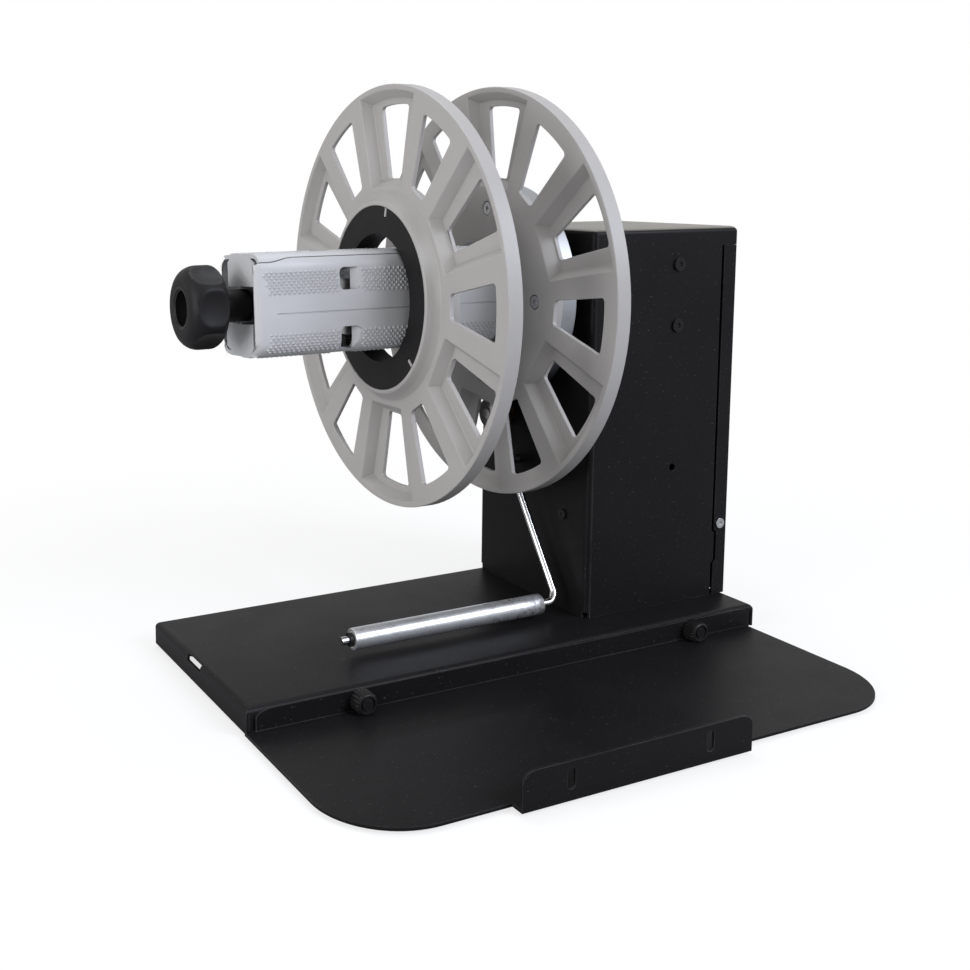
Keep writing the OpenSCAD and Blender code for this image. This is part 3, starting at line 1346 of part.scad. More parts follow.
// Barrel-shaped knob with scooped grips and a deep recess in its face
module knob() color([0.07, 0.07, 0.07]) on_floor() {
  neck_right = carrier_left_x - free;
  edge = knob_len / 5;
  nose = knob_r * 0.8;
  on_spindle(neck_right) difference() {
    union() {
      cylinder(r = neck_r, h = neck_right - knob_right_x + over);
      translate([0, 0, neck_right - knob_right_x]) difference() {
        rotate_extrude($fn = 96) polygon(knob_profile(edge, nose));
        for (k = [0:grips - 1]) rotate([0, 0, grip_turn + 360 / grips * k])
          translate([knob_r + scoop_r - scoop_depth, 0, knob_len * 0.42]) sphere(r = scoop_r, $fn = 96);
      }
    }
    translate([0, 0, neck_right - knob_right_x + knob_len - recess_depth])
      cylinder(r = recess_r, h = recess_depth + over);
    translate([0, 0, -over]) cylinder(r = lead_r + fit, h = neck_right - knob_right_x + over);
  }
}

// Knob's outline: short curve at the back edge, longer one at the face
function knob_profile(edge, nose) = concat(
  [[0, 0]],
  [for (k = [0:4]) let (a = -90 + k * 22.5) [knob_r - edge * 0.5 + edge * 0.5 * cos(a),
    edge * 0.5 + edge * 0.5 * sin(a)]],
  [for (k = [0:5]) let (a = k * 18) [nose + (knob_r - nose) * cos(a),
    knob_len - edge * 1.4 + edge * 1.4 * sin(a)]],
  [[0, knob_len]]);

// Front flange: spoked disc with a flared collar round the adapter ring
module front_flange() color([0.68, 0.67, 0.65]) on_floor() {
  seat_r = ring_r + ring_fit;
  on_spindle(front_flange_x) {
    difference() {
      union() {
        spoked_disc(front_turn);
        translate([0, 0, flange_t - over]) rotate_extrude($fn = 120)
          polygon([[seat_r, 0], [collar_foot_r, 0], [collar_foot_r, over], [collar_top_r + collar_h / 6, over + collar_h * 0.5],
            [collar_top_r, over + collar_h * 0.92], [collar_top_r - collar_h / 12, over + collar_h], [seat_r, over + collar_h]]);
      }
      translate([0, 0, -over]) cylinder(r = tube_r() + ring_fit, h = flange_t + 2 * over);
    }
    // Keys that stop the ring turning
    for (k = [0:2]) rotate([0, 0, key_turn + k * 120])
      translate([seat_r - key_len, -key_w / 2, flange_t]) cube([key_len + over / 2, key_w, collar_h * 0.95]);
  }
}

function tube_r() = ring_bore_r + ring_tube_wall;

// Black ring that fits the flange to the closed jaws
module adapter_ring() color([0.08, 0.08, 0.08]) on_floor() {
  on_spindle(front_flange_x) difference() {
    union() {
      cylinder(r = tube_r(), h = flange_t);
      translate([0, 0, flange_t]) cylinder(r = ring_r, h = collar_h * 0.92, $fn = 120);
    }
    translate([0, 0, -over]) cylinder(r = ring_bore_r, h = flange_t + collar_h + 2 * over, $fn = 120);
    for (k = [0:2]) rotate([0, 0, key_turn + k * 120])
      translate([ring_r - key_len - ring_fit, -key_w / 2 - ring_fit, flange_t - over])
        cube([key_len + 2 * over, key_w + 2 * ring_fit, collar_h + 2 * over]);
  }
}

// Bent rod: hub on the pivot, straight arm, bend, and the axle inside the roller
module dancer_arm() color([0.78, 0.78, 0.78]) on_floor() {
  axle_len = roller_off - rod_off + roller_len + rod_end;
  translate([0, pivot_back, -pivot_down]) rotate([arm_tilt, 0, 0]) {
    // Local Y now points from the pivot to the roller
    translate([-rod_off - arm_hub_len / 2, 0, 0]) rotate([0, 90, 0]) difference() {
      cylinder(r = arm_hub_r, h = arm_hub_len);
      translate([0, 0, -over]) cylinder(r = arm_shaft_r + fit, h = arm_hub_len + 2 * over);
    }
    translate([-rod_off - rod_bend_r, arm_len - rod_bend_r, 0]) {
      rotate_extrude(angle = 90) translate([rod_bend_r, 0]) circle(r = rod_r, $fn = 32);
      translate([rod_bend_r, 0, 0]) rotate([90, 0, 0])
        cylinder(r = rod_r, h = arm_len - rod_bend_r - arm_hub_r * 0.9);
      translate([0, rod_bend_r, 0]) rotate([0, -90, 0])
        cylinder(r = rod_r, h = axle_len - rod_bend_r);
    }
  }
}

// Shaft through the wall that the arm is fixed to
module arm_shaft() color([0.7, 0.7, 0.72]) on_floor() {
  right = sheet + sensor_len;
  on_spindle(right, pivot_back, -pivot_down)
    cylinder(r = arm_shaft_r, h = right + rod_off + arm_hub_len * 0.57);
}

module roller_tube() color([0.75, 0.75, 0.75]) on_floor() {
  wall = roller_wall;
  on_spindle(-roller_off, -roller_front, -roller_down) tube(roller_r, roller_r - wall, roller_len);
}

// Plastic plugs that let the roller turn on the rod
module roller_bushes() color([0.85, 0.85, 0.82]) on_floor() {
  wall = roller_wall;
  len = roller_bush_len;
  for (x = [-roller_off - free, -roller_off - roller_len + len + free])
    on_spindle(x, -roller_front, -roller_down) tube(roller_r - wall - fit, rod_r + fit, len);
}

// Clip that keeps the roller on the rod
module roller_clip() color([0.3, 0.3, 0.3]) on_floor() {
  on_spindle(-roller_off - roller_len - 2 * free, -roller_front, -roller_down)
    tube(rod_r * 1.75, rod_r + fit, clip_t);
}

base_tray();
tall_feet();
front_plate();
plate_pads();
thumb_screw_left();
thumb_screw_right();
clinch_nuts();
tower_shell();
rear_cover();
cover_screws();
bracket_screws();
board_screws();
foot_screws();
housing_screws();
bearing_housing();
bearing_outer();
bearing_inner();
motor_bracket();
gearbox();
motor_can();
gearbox_screws();
control_board();
board_parts();
arm_sensor();
arm_bush();
arm_stop();
switch_body();
rocker();
power_inlet();
dial_sensor();
tension_dial();
spindle_shaft();
shaft_coupler();
hub_disc();
rear_flange();
flange_screws();
jaw_carrier();
carrier_screws();
lead_bushes();
jaw_near();
jaw_top();
jaw_far();
jaw_bottom();
wedge_sleeves();
draw_nuts();
draw_pins();
lead_screw();
knob();
front_flange();
adapter_ring();
dancer_arm();
arm_shaft();
roller_tube();
roller_bushes();
roller_clip();
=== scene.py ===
"""Looks of a desktop label rewinder: black coated sheet metal, moulded grey flanges, a knurled
four-jaw core holder with a soft black knob, and a bright dancer arm with a turned steel roller."""

import json
import math

import bmesh
import bpy
from mathutils import Matrix, Vector

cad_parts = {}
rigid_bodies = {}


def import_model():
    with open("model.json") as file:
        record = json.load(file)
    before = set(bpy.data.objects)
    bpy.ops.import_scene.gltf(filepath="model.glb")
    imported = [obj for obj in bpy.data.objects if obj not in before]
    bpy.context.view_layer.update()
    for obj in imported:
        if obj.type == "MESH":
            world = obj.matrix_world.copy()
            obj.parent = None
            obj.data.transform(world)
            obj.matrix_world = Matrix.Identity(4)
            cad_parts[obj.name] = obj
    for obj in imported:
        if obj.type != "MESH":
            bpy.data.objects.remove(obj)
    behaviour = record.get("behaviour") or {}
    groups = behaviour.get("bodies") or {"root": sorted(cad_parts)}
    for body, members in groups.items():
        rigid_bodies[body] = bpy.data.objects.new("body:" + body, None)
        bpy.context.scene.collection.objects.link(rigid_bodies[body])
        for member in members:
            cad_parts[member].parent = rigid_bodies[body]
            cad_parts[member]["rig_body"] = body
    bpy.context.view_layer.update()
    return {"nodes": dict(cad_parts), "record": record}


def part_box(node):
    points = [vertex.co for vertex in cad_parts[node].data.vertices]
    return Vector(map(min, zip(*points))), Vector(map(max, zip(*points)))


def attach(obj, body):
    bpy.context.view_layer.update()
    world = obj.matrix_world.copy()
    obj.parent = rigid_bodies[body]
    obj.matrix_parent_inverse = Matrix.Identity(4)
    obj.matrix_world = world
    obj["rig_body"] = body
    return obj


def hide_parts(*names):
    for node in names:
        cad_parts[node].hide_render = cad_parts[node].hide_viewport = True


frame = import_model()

bl_info = {
    "name": "Label rewinder looks",
    "version": (1, 0, 0),
    "blender": (4, 5, 0),
    "location": "3D View > Sidebar > Rewinder",
    "description": "Builds the finished surfaces of a label rewinder around its frame",
    "category": "Object",
}

MM = 0.001


def shade(red, green, blue):
    """Linear colour from display values of 0 to 255."""
    return tuple(
        v / 12.92 if v <= 0.04045 else ((v + 0.055) / 1.055) ** 2.4
        for v in (red / 255, green / 255, blue / 255)
    )


def length(name, description, default):
    """A size property in metres."""
    return bpy.props.FloatProperty(
        name=name, description=description, default=default, unit="LENGTH", precision=5
    )


def colour(name, description, default):
    """A colour property."""
    return bpy.props.FloatVectorProperty(
        name=name, description=description, default=default, subtype="COLOR", min=0, max=1
    )


def angle(name, description, default):
    """An angle property, its default given in degrees."""
    return bpy.props.FloatProperty(
        name=name, description=description, default=math.radians(default), unit="ROTATION"
    )


class RewinderSizes(bpy.types.PropertyGroup):
    """Sizes of the details that the finished pieces add to the frame."""

    weld: length("Weld distance", "Points closer than this become one", 0.01 * MM)
    sheet: length("Sheet", "Thickness of the folded sheet", 1.5 * MM)
    cover_joint: length("Cover joint", "What the rear cover's top edge is drawn up by", 0.7 * MM)
    corner_gap: length("Corner gap", "What stays open at the tray's corner", 0.1 * MM)
    sheet_edge: length("Sheet edge", "Rounding of the cut sheet's edges", 0.2 * MM)
    moulded_edge: length("Moulded edge", "Rounding of the flanges' edges", 0.55 * MM)
    jaw_edge: length("Jaw edge", "Rounding of the jaws' edges", 0.22 * MM)
    ring_edge: length("Ring edge", "Rounding of the adapter ring's edges", 0.3 * MM)
    small_edge: length("Small edge", "Rounding of small parts' edges", 0.12 * MM)
    holder_turn: angle("Holder turn", "Turn of the core holder about the spindle", 4.0)
    jaw_half: length("Jaw half width", "Half the width across the closed jaws", 25.5 * MM)
    jaw_fall: length("Jaw fall", "Fall of the knurled faces at their edge", 0.4 * MM)
    jaw_wall: length("Jaw wall", "Wall of the jaws", 2.6 * MM)
    jaw_nose: length("Jaw nose", "Rounding of the jaws' left edge", 4.5 * MM)
    corner_radius: length("Corner radius", "Radius of the holder's corners", 8.0 * MM)
    seam_shift: length("Seam shift", "Two seams past their corners' middles", 0.3 * MM)
    seam_swing: length("Seam swing", "How far these seams swing back at the left", 2.6 * MM)
    seam_back: length("Seam back", "Other seams before their corners' middles", 3.5 * MM)
    seam_gap: length("Seam gap", "Gap between two jaws", 0.5 * MM)
    line_low: length("Fine line", "Jaw's middle to the fine line", -4.3 * MM)
    line_start: length("Line start", "Jaw's left end to the fine line", 12.0 * MM)
    far_short: length("Far jaw's end", "How much sooner the far jaw ends at the left", 2.6 * MM)
    end_in: length("End plate place", "Jaws' left ends to the end plates", 3.25 * MM)
    plate_out: length("Plate out", "How far an end plate stands out of its jaw's cut end", 0.2 * MM)
    line_width: length("Line width", "Width of the fine line", 0.5 * MM)
    sleeve: length("Sleeve", "Length of one wedge sleeve", 16.0 * MM)
    pad_short: length("Pad's end", "How much sooner a wedge pad ends than its sleeve", 2.0 * MM)
    pad_root: length("Pad root", "Spindle's middle to a wedge pad's right end", 18.6 * MM)
    post_root: length("Post root", "Spindle's middle to the guide posts' feet", 8.9 * MM)
    pad_half: length("Pad half width", "Half the width of the wedge pads", 6.0 * MM)
    post_radius: length("Post radius", "Radius of the guide posts", 3.0 * MM)
    band_high: length("Band top", "Jaw's middle to the upper knurl", 5.7 * MM)
    band_low: length("Band foot", "Jaw's middle to the lower knurl", -14.3 * MM)
    knurl_upper: length("Upper knurl", "Height of the upper knurled band", 10.0 * MM)
    knurl_inset: length("Knurl's start", "Jaw's left end to the knurl at the plain band", 6.4 * MM)
    knurl_corner: length("Knurl at corner", "The same at the upper band's corner", 2.6 * MM)
    knurl_round: length("Knurl at round", "The same at the lower band's round corner", 4.0 * MM)
    knurl_pitch: length("Knurl pitch", "Width of one knurl diamond", 2.6 * MM)
    knurl_rise: length("Knurl rise", "Height of one knurl diamond", 2.9 * MM)
    knurl_depth: length("Knurl depth", "Depth of the knurl's pyramids", 1.0 * MM)
    window_in: length("Window place", "Jaw's left end to the windows' middle", 51.5 * MM)
    window_size: length("Window size", "Width of the jaw windows", 10.8 * MM)
    window_height: length("Window height", "Height of the jaw windows", 11.0 * MM)
    window_high: length("Upper window", "Jaw's middle to the upper window's", 11.5 * MM)
    window_low: length("Lower window", "Jaw's middle to the lower window's", -17.6 * MM)
    bore_reach: length("Bore reach", "What lies this near the bore belongs to it", 3.5 * MM)
    ring_bore: length("Ring bore", "Radius of the adapter ring's bore", 33.4 * MM)
    knob_radius: length("Knob radius", "Radius of the hand knob", 20.7 * MM)
    knob_length: length("Knob length", "Length of the hand knob", 19.3 * MM)
    knob_reach: length("Knob reach", "How far the knob's nose passes the frame's", 0.9 * MM)
    neck_radius: length("Neck radius", "Radius of the knob's neck", 8.1 * MM)
    neck_room: length("Neck room", "Room between the neck and the end plates", 1.1 * MM)
    recess_radius: length("Recess radius", "Radius of the recess in the knob", 8.6 * MM)
    recess_depth: length("Recess depth", "Depth of the recess in the knob", 9.5 * MM)
    scoop_radius: length("Scoop radius", "Radius of the knob's finger scoops", 34.0 * MM)
    scoop_depth: length("Scoop depth", "Depth of the knob's finger scoops", 3.1 * MM)
    scoop_ease: length("Scoop ease", "Rounding where a scoop meets the barrel", 0.35 * MM)
    grip_turn: angle("Grip turn", "Turn of the first scoop", 3.0)
    thumb_rib: length("Thumb rib", "Depth of the thumb screws' ribs", 0.7 * MM)


class RewinderColours(bpy.types.PropertyGroup):
    """Colours of the finishes."""

    sheet: colour("Coated sheet", "Powder coat of the sheet metal", shade(20, 19, 20))
    flange: colour("Flange", "Moulded plastic of the flanges", shade(171, 168, 165))
    jaw: colour("Jaw", "Moulded plastic of the jaws", shade(190, 190, 191))
    knob: colour("Knob", "Soft plastic of knob and ring", shade(24, 23, 24))
    steel: colour("Steel", "Plain bright steel", shade(196, 196, 197))
    rod: colour("Rod", "Polished steel of the dancer arm", shade(205, 205, 206))
    roller: colour("Roller", "Turned steel of the roller", shade(208, 209, 212))
    stain: colour("Stain", "Dark stains on the roller", shade(70, 64, 58))
    screw: colour("Black screw", "Blackened screws", shade(24, 23, 24))
    rubber: colour("Rubber", "Feet and pads", shade(22, 22, 22))
    alloy: colour("Alloy", "Cast and machined alloy", shade(168, 170, 173))
    bronze: colour("Bronze", "Bushes and nuts", shade(104, 84, 60))
    board: colour("Board", "Control board", shade(26, 84, 48))
    component: colour("Component", "Parts on the board", shade(38, 38, 42))
    bush: colour("Bush", "White plastic bushes", shade(214, 214, 208))
    panel: colour("Panel", "Glossy black panel parts", shade(20, 20, 21))
    dust: colour("Dust", "Pale dust and scuffs", shade(150, 148, 145))
    # Painted sheen: a pale colour painted on the tower's top in place of the light it reflects.
    top_painted_sheen: colour("Top dust", "Dusty top of the tower", shade(134, 130, 121))
    floor: colour("Floor", "The pale floor", shade(244, 244, 244))


def sizes():
    return bpy.context.scene.rewinder_sizes


def colours():
    return bpy.context.scene.rewinder_colours


# Node recipes


class Nodes:
    """A node tree in the making: each method adds nodes and gives back the socket that carries on."""

    def __init__(self, tree):
        self.tree = tree

    def add(self, kind, inputs=None, **settings):
        node = self.tree.nodes.new(kind)
        for key, value in settings.items():
            setattr(node, key, value)
        for key, value in (inputs or {}).items():
            if isinstance(value, bpy.types.NodeSocket):
                self.tree.links.new(value, node.inputs[key])
            else:
                node.inputs[key].default_value = value
        return node

    def ramp(self, value, low, high, to_low=0.0, to_high=1.0):
        """Maps low..high of a value to another range, clamped."""
        return self.add(
            "ShaderNodeMapRange",
            {"Value": value, "From Min": low, "From Max": high, "To Min": to_low, "To Max": to_high},
            clamp=True,
        ).outputs["Result"]

    def maths(self, operation, first, second):
        return self.add("ShaderNodeMath", {0: first, 1: second}, operation=operation).outputs[0]


class Finish(Nodes):
    """The node tree of a new material."""

    def __init__(self, name):
        self.material = bpy.data.materials.new(name)
        self.material.use_nodes = True
        super().__init__(self.material.node_tree)
        self.shader = self.tree.nodes["Principled BSDF"]
        self.place = self.add("ShaderNodeTexCoord").outputs["Object"]

    def noise(self, size, detail=3.0, rough=0.55, stretch=(1, 1, 1)):
        """Cloudy pattern whose features are about size metres."""
        place = self.add(
            "ShaderNodeMapping", {"Vector": self.place, "Scale": stretch}
        ).outputs["Vector"]
        return self.add(
            "ShaderNodeTexNoise",
            {"Vector": place, "Scale": 1 / size, "Detail": detail, "Roughness": rough},
        ).outputs["Fac"]

    def mix(self, factor, first, second):
        """Colour between first and second."""
        return self.add(
            "ShaderNodeMix",
            {"Factor": factor, "A": self.four(first), "B": self.four(second)},
            data_type="RGBA",
        ).outputs["Result"]

    @staticmethod
    def four(value):
        return value if isinstance(value, bpy.types.NodeSocket) else (*value, 1.0)

    def edges(self, radius, contrast):
        """One along outer and inner edges, zero on open faces."""
        rounded = self.add("ShaderNodeBevel", {"Radius": radius}, samples=4).outputs["Normal"]
        plain = self.add("ShaderNodeNewGeometry").outputs["Normal"]
        same = self.add(
            "ShaderNodeVectorMath", {0: rounded, 1: plain}, operation="DOT_PRODUCT"
        ).outputs["Value"]
        return self.ramp(same, 1.0, 1.0 - contrast)

    def bump(self, height, depth, strength=1.0):
        bump = self.add(
            "ShaderNodeBump", {"Height": height, "Distance": depth, "Strength": strength}
        )
        self.tree.links.new(bump.outputs["Normal"], self.shader.inputs["Normal"])

    def set(self, **values):
        """Sockets of the shader by name, with underscores for spaces."""
        for key, value in values.items():
            socket = self.shader.inputs[key.replace("_", " ")]
            if isinstance(value, bpy.types.NodeSocket):
                self.tree.links.new(value, socket)
            elif socket.type == "RGBA":
                socket.default_value = self.four(value)
            else:
                socket.default_value = value
        return self.material


def lighter(base, factor):
    """A colour scaled towards light or dark."""
    return tuple(min(1.0, v * factor) for v in base)


def powder_coat(name, base, dust):
    """Fine-grained satin coat on sheet metal, rubbed pale on its edges, speckled here and there,
    and with a painted sheen on the tower's top."""
    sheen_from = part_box("tower_shell")[1].z - 3 * MM
    f = Finish(name)
    grain = f.noise(0.45 * MM, detail=2.0)
    cloud = f.noise(38 * MM, detail=4.0)
    specks = f.ramp(f.noise(1.1 * MM, detail=1.0), 0.7, 0.78)
    tone = f.mix(cloud, lighter(base, 0.8), lighter(base, 1.3))
    tone = f.mix(f.maths("MULTIPLY", specks, 0.16), tone, dust)
    worn = f.maths("MULTIPLY", f.edges(0.6 * MM, 0.25), f.ramp(cloud, 0.35, 0.7, 0.05, 0.3))
    height = f.add("ShaderNodeSeparateXYZ", {"Vector": f.place}).outputs["Z"]
    outward = f.add("ShaderNodeNewGeometry").outputs["Normal"]
    up = f.add("ShaderNodeSeparateXYZ", {"Vector": outward}).outputs["Z"]
    # Painted sheen: upward faces at the tower's top take a pale colour that stands in for reflected light.
    top = f.maths("MULTIPLY", f.ramp(up, 0.6, 0.9), f.ramp(height, sheen_from - 2 * MM, sheen_from))
    tone = f.mix(top, tone, colours().top_painted_sheen)
    f.bump(grain, 0.05 * MM, 0.5)
    return f.set(
        Base_Color=f.mix(worn, tone, dust),
        Roughness=f.ramp(cloud, 0.25, 0.75, 0.36, 0.46),
        Specular_IOR_Level=0.12,
    )


def moulded_plastic(name, base, painted_shade=(0.35, 0.95, 0.62)):
    """Light grey moulding with a faint grain, paler on its edges, and darkened by painted shade in
    its corners and hollows. The last argument says between which openness the painted shade
    darkens, and what the closest hollows keep of their colour."""
    f = Finish(name)
    grain = f.noise(0.5 * MM, detail=2.0)
    cloud = f.noise(26 * MM, detail=5.0)
    scuffs = f.ramp(f.noise(3 * MM, detail=6.0, stretch=(1, 3, 1)), 0.66, 0.75)
    tone = f.mix(cloud, lighter(base, 0.93), lighter(base, 1.05))
    tone = f.mix(f.maths("MULTIPLY", scuffs, 0.12), tone, lighter(base, 0.72))
    # Painted shade: two ambient occlusion masks darken corners, hollows and shaded insides towards a dark
    # copy of the base.
    near = f.add("ShaderNodeAmbientOcclusion", {"Distance": 2.5 * MM}, samples=4).outputs["AO"]
    wide = f.add("ShaderNodeAmbientOcclusion", {"Distance": 14 * MM}, samples=4).outputs["AO"]
    shade_mask = f.maths("MULTIPLY", f.ramp(near, 0.35, 0.95, 0.5, 1.0), f.ramp(wide, *painted_shade, 1.0))
    tone = f.mix(shade_mask, lighter(base, 0.3), tone)
    worn = f.maths("MULTIPLY", f.edges(0.8 * MM, 0.3), 0.3)
    f.bump(grain, 0.04 * MM, 0.35)
    return f.set(
        Base_Color=f.mix(worn, tone, lighter(base, 1.12)),
        Roughness=f.ramp(cloud, 0.3, 0.7, 0.42, 0.54),
    )


def soft_plastic(name, base, dust, rough=0.5):
    """Matt black plastic with a leathery grain and rubbed edges."""
    f = Finish(name)
    grain = f.noise(0.6 * MM, detail=2.0)
    cloud = f.noise(12 * MM, detail=4.0)
    worn = f.maths("MULTIPLY", f.edges(0.5 * MM, 0.3), f.ramp(cloud, 0.35, 0.7, 0.03, 0.16))
    tone = f.mix(cloud, lighter(base, 0.75), lighter(base, 1.35))
    f.bump(grain, 0.06 * MM, 0.4)
    return f.set(
        Base_Color=f.mix(worn, tone, dust),
        Roughness=f.ramp(cloud, 0.3, 0.7, rough - 0.07, rough + 0.07),
        Specular_IOR_Level=0.18,
    )


def bare_metal(name, base, rough, stretch=(1, 1, 1), streak=0.4, inside=0.6):
    """Metal with fine tool lines, a cloudy tarnish and bright edges, and painted shade deep in the
    machine. inside is what it keeps of its colour there, where the painted shade falls."""
    f = Finish(name)
    lines = f.noise(streak * MM, detail=3.0, stretch=stretch)
    cloud = f.noise(9 * MM, detail=5.0)
    tone = f.mix(cloud, lighter(base, 0.84), lighter(base, 1.08))
    worn = f.maths("MULTIPLY", f.edges(0.4 * MM, 0.3), 0.35)
    # Painted shade: an ambient occlusion mask darkens the metal where it is closed in.
    open_air = f.add("ShaderNodeAmbientOcclusion", {"Distance": 14 * MM}, samples=4).outputs["AO"]
    tone = f.mix(f.ramp(open_air, 0.15, 0.7), lighter(base, inside), tone)
    f.bump(lines, 0.012 * MM, 0.5)
    return f.set(
        Base_Color=f.mix(worn, tone, lighter(base, 1.2)),
        Metallic=1.0,
        Roughness=f.ramp(f.maths("MULTIPLY", lines, cloud), 0.1, 0.45, rough - 0.06, rough + 0.1),
    )


def roller_steel(name, base, stain):
    """Turned steel, satin, with dark stains crowding towards the arm's end."""
    f = Finish(name)
    low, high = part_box("roller_tube")
    lines = f.noise(0.5 * MM, detail=3.0, stretch=(3, 0.4, 0.4))
    cloud = f.noise(7 * MM, detail=6.0)
    along = f.add("ShaderNodeSeparateXYZ", {"Vector": f.place}).outputs["X"]
    near_arm = f.ramp(along, low.x + 0.55 * (high.x - low.x), high.x, 0.0, 0.2)
    blots = f.ramp(f.maths("ADD", f.noise(4 * MM, detail=7.0, rough=0.7), near_arm), 0.62, 0.76)
    tone = f.mix(cloud, lighter(base, 0.82), lighter(base, 1.06))
    worn = f.maths("MULTIPLY", f.edges(0.5 * MM, 0.3), 0.4)
    tone = f.mix(f.maths("MULTIPLY", blots, 0.75), tone, stain)
    f.bump(lines, 0.015 * MM, 0.5)
    return f.set(
        Base_Color=f.mix(worn, tone, lighter(base, 1.2)),
        Metallic=0.75,
        Roughness=f.maths("ADD", f.ramp(cloud, 0.3, 0.7, 0.24, 0.36), f.maths("MULTIPLY", blots, 0.2)),
    )


def printed_board(name, base):
    """Green lacquered board with faint copper runs under the lacquer."""
    f = Finish(name)
    runs = f.add(
        "ShaderNodeTexWave", {"Vector": f.place, "Scale": 130.0, "Distortion": 3.0, "Detail": 1.0}
    ).outputs["Fac"]
    worn = f.maths("MULTIPLY", f.edges(0.3 * MM, 0.3), 0.3)
    tone = f.mix(f.ramp(runs, 0.45, 0.55), base, lighter(base, 1.5))
    f.bump(runs, 0.02 * MM, 0.4)
    return f.set(
        Base_Color=f.mix(worn, tone, lighter(base, 2.2)),
        Roughness=f.ramp(runs, 0.3, 0.7, 0.28, 0.36),
    )


FINISHES = {}


def finish(slot):
    """The material of one of the record's slots, made when first asked for."""
    c = colours()
    if slot not in FINISHES:
        recipes = {
            "sheet_black": lambda n: powder_coat(n, c.sheet, c.dust),
            "moulded_grey": lambda n: moulded_plastic(n, c.flange),
            # The jaws' painted shade goes almost black, so their insides look dark through the windows.
            "jaw_grey": lambda n: moulded_plastic(n, c.jaw, painted_shade=(0.1, 0.45, 0.12)),
            "knob_black": lambda n: soft_plastic(n, c.knob, c.dust),
            "steel": lambda n: bare_metal(n, c.steel, 0.3, inside=1.0),
            "rod_steel": lambda n: bare_metal(n, c.rod, 0.16, stretch=(0.3, 1, 1)),
            "roller_steel": lambda n: roller_steel(n, c.roller, c.stain),
            "black_screw": lambda n: soft_plastic(n, c.screw, c.dust, rough=0.38),
            "rubber": lambda n: soft_plastic(n, c.rubber, c.dust, rough=0.72),
            # The alloy keeps almost none of its colour deep inside, so painted shade makes the wedge
            # sleeves dark in the jaw windows.
            "alloy": lambda n: bare_metal(n, c.alloy, 0.42, inside=0.03),
            "bronze": lambda n: bare_metal(n, c.bronze, 0.36),
            "board": lambda n: printed_board(n, c.board),
            "component": lambda n: soft_plastic(n, c.component, c.dust, rough=0.45),
            "bush_white": lambda n: moulded_plastic(n, c.bush),
            "panel_black": lambda n: soft_plastic(n, c.panel, c.dust, rough=0.3),
        }
        FINISHES[slot] = recipes[slot](slot)
    return FINISHES[slot]


# Where things are


def node_slot(node):
    """The record's material slot of a CAD node."""
    for entry in frame["record"]["subparts"]:
        if entry["node"] == node:
            return entry["material_slot"]
    raise RuntimeError(f"the record has no piece named {node}")


def node_body(node):
    return frame["nodes"][node]["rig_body"]


def spindle_axis():
    """The spindle axis's y and z."""
    low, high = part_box("spindle_shaft")
    return (low.y + high.y) / 2, (low.z + high.z) / 2


def on_spindle(x, turn=0.0):
    """Frame on the spindle: local X towards the operator, local Y up, local Z to the left."""
    y, z = spindle_axis()
    axes = Matrix(((0, 0, -1), (-1, 0, 0), (0, 1, 0))).to_4x4()
    return Matrix.Translation((x, y, z)) @ axes @ Matrix.Rotation(turn, 4, "Z")


def facing(place, direction):
    """Frame at a place whose local Z points along a direction."""
    turn = Vector(direction).to_track_quat("Z", "Y").to_matrix().to_4x4()
    return Matrix.Translation(place) @ turn


# Mesh makers


def keep(name, bm, place, slot, body, replaced=(), smooth=30.0):
    """Turns a mesh into a finished piece that rides on a body."""
    bmesh.ops.recalc_face_normals(bm, faces=bm.faces)
    mesh = bpy.data.meshes.new(name)
    bm.to_mesh(mesh)
    bm.free()
    mesh.transform(place)
    mesh.shade_smooth()
    mesh.set_sharp_from_angle(angle=math.radians(smooth))
    mesh.materials.append(finish(slot))
    piece = bpy.data.objects.new(name, mesh)
    bpy.context.scene.collection.objects.link(piece)
    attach(piece, body)
    if replaced:
        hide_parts(*replaced)
    return piece


def soften(piece, edge, limit, segments=2):
    """Rounds a piece's edges that are sharper than the limit in degrees."""
    rounding = piece.modifiers.new("Rounded edges", "BEVEL")
    rounding.width = edge
    rounding.segments = segments
    rounding.limit_method = "ANGLE"
    rounding.angle_limit = math.radians(limit)
    rounding.use_clamp_overlap = False
    rounding.harden_normals = True


def dressed(node, edge, segments=2, limit=32.0, flat=0.4, warp=None):
    """A copy of a CAD node with its flat faces joined up and its edges rounded. A warp moves its
    points first."""
    source = frame["nodes"][node].data
    bm = bmesh.new()
    bm.from_mesh(source)
    bmesh.ops.remove_doubles(bm, verts=bm.verts, dist=sizes().weld)
    for point in bm.verts if warp else ():
        point.co = warp(point.co)
    bmesh.ops.dissolve_limit(
        bm, angle_limit=math.radians(flat), verts=bm.verts, edges=bm.edges, use_dissolve_boundaries=False
    )
    piece = keep(
        node + "_finish", bm, Matrix.Identity(4), node_slot(node), node_body(node), (node,), limit
    )
    soften(piece, edge, limit, segments)
    return piece


def bare(*nodes):
    """CAD nodes that stay as they are and get their finish."""
    for node in nodes:
        mesh = frame["nodes"][node].data
        mesh.materials.clear()
        mesh.materials.append(finish(node_slot(node)))


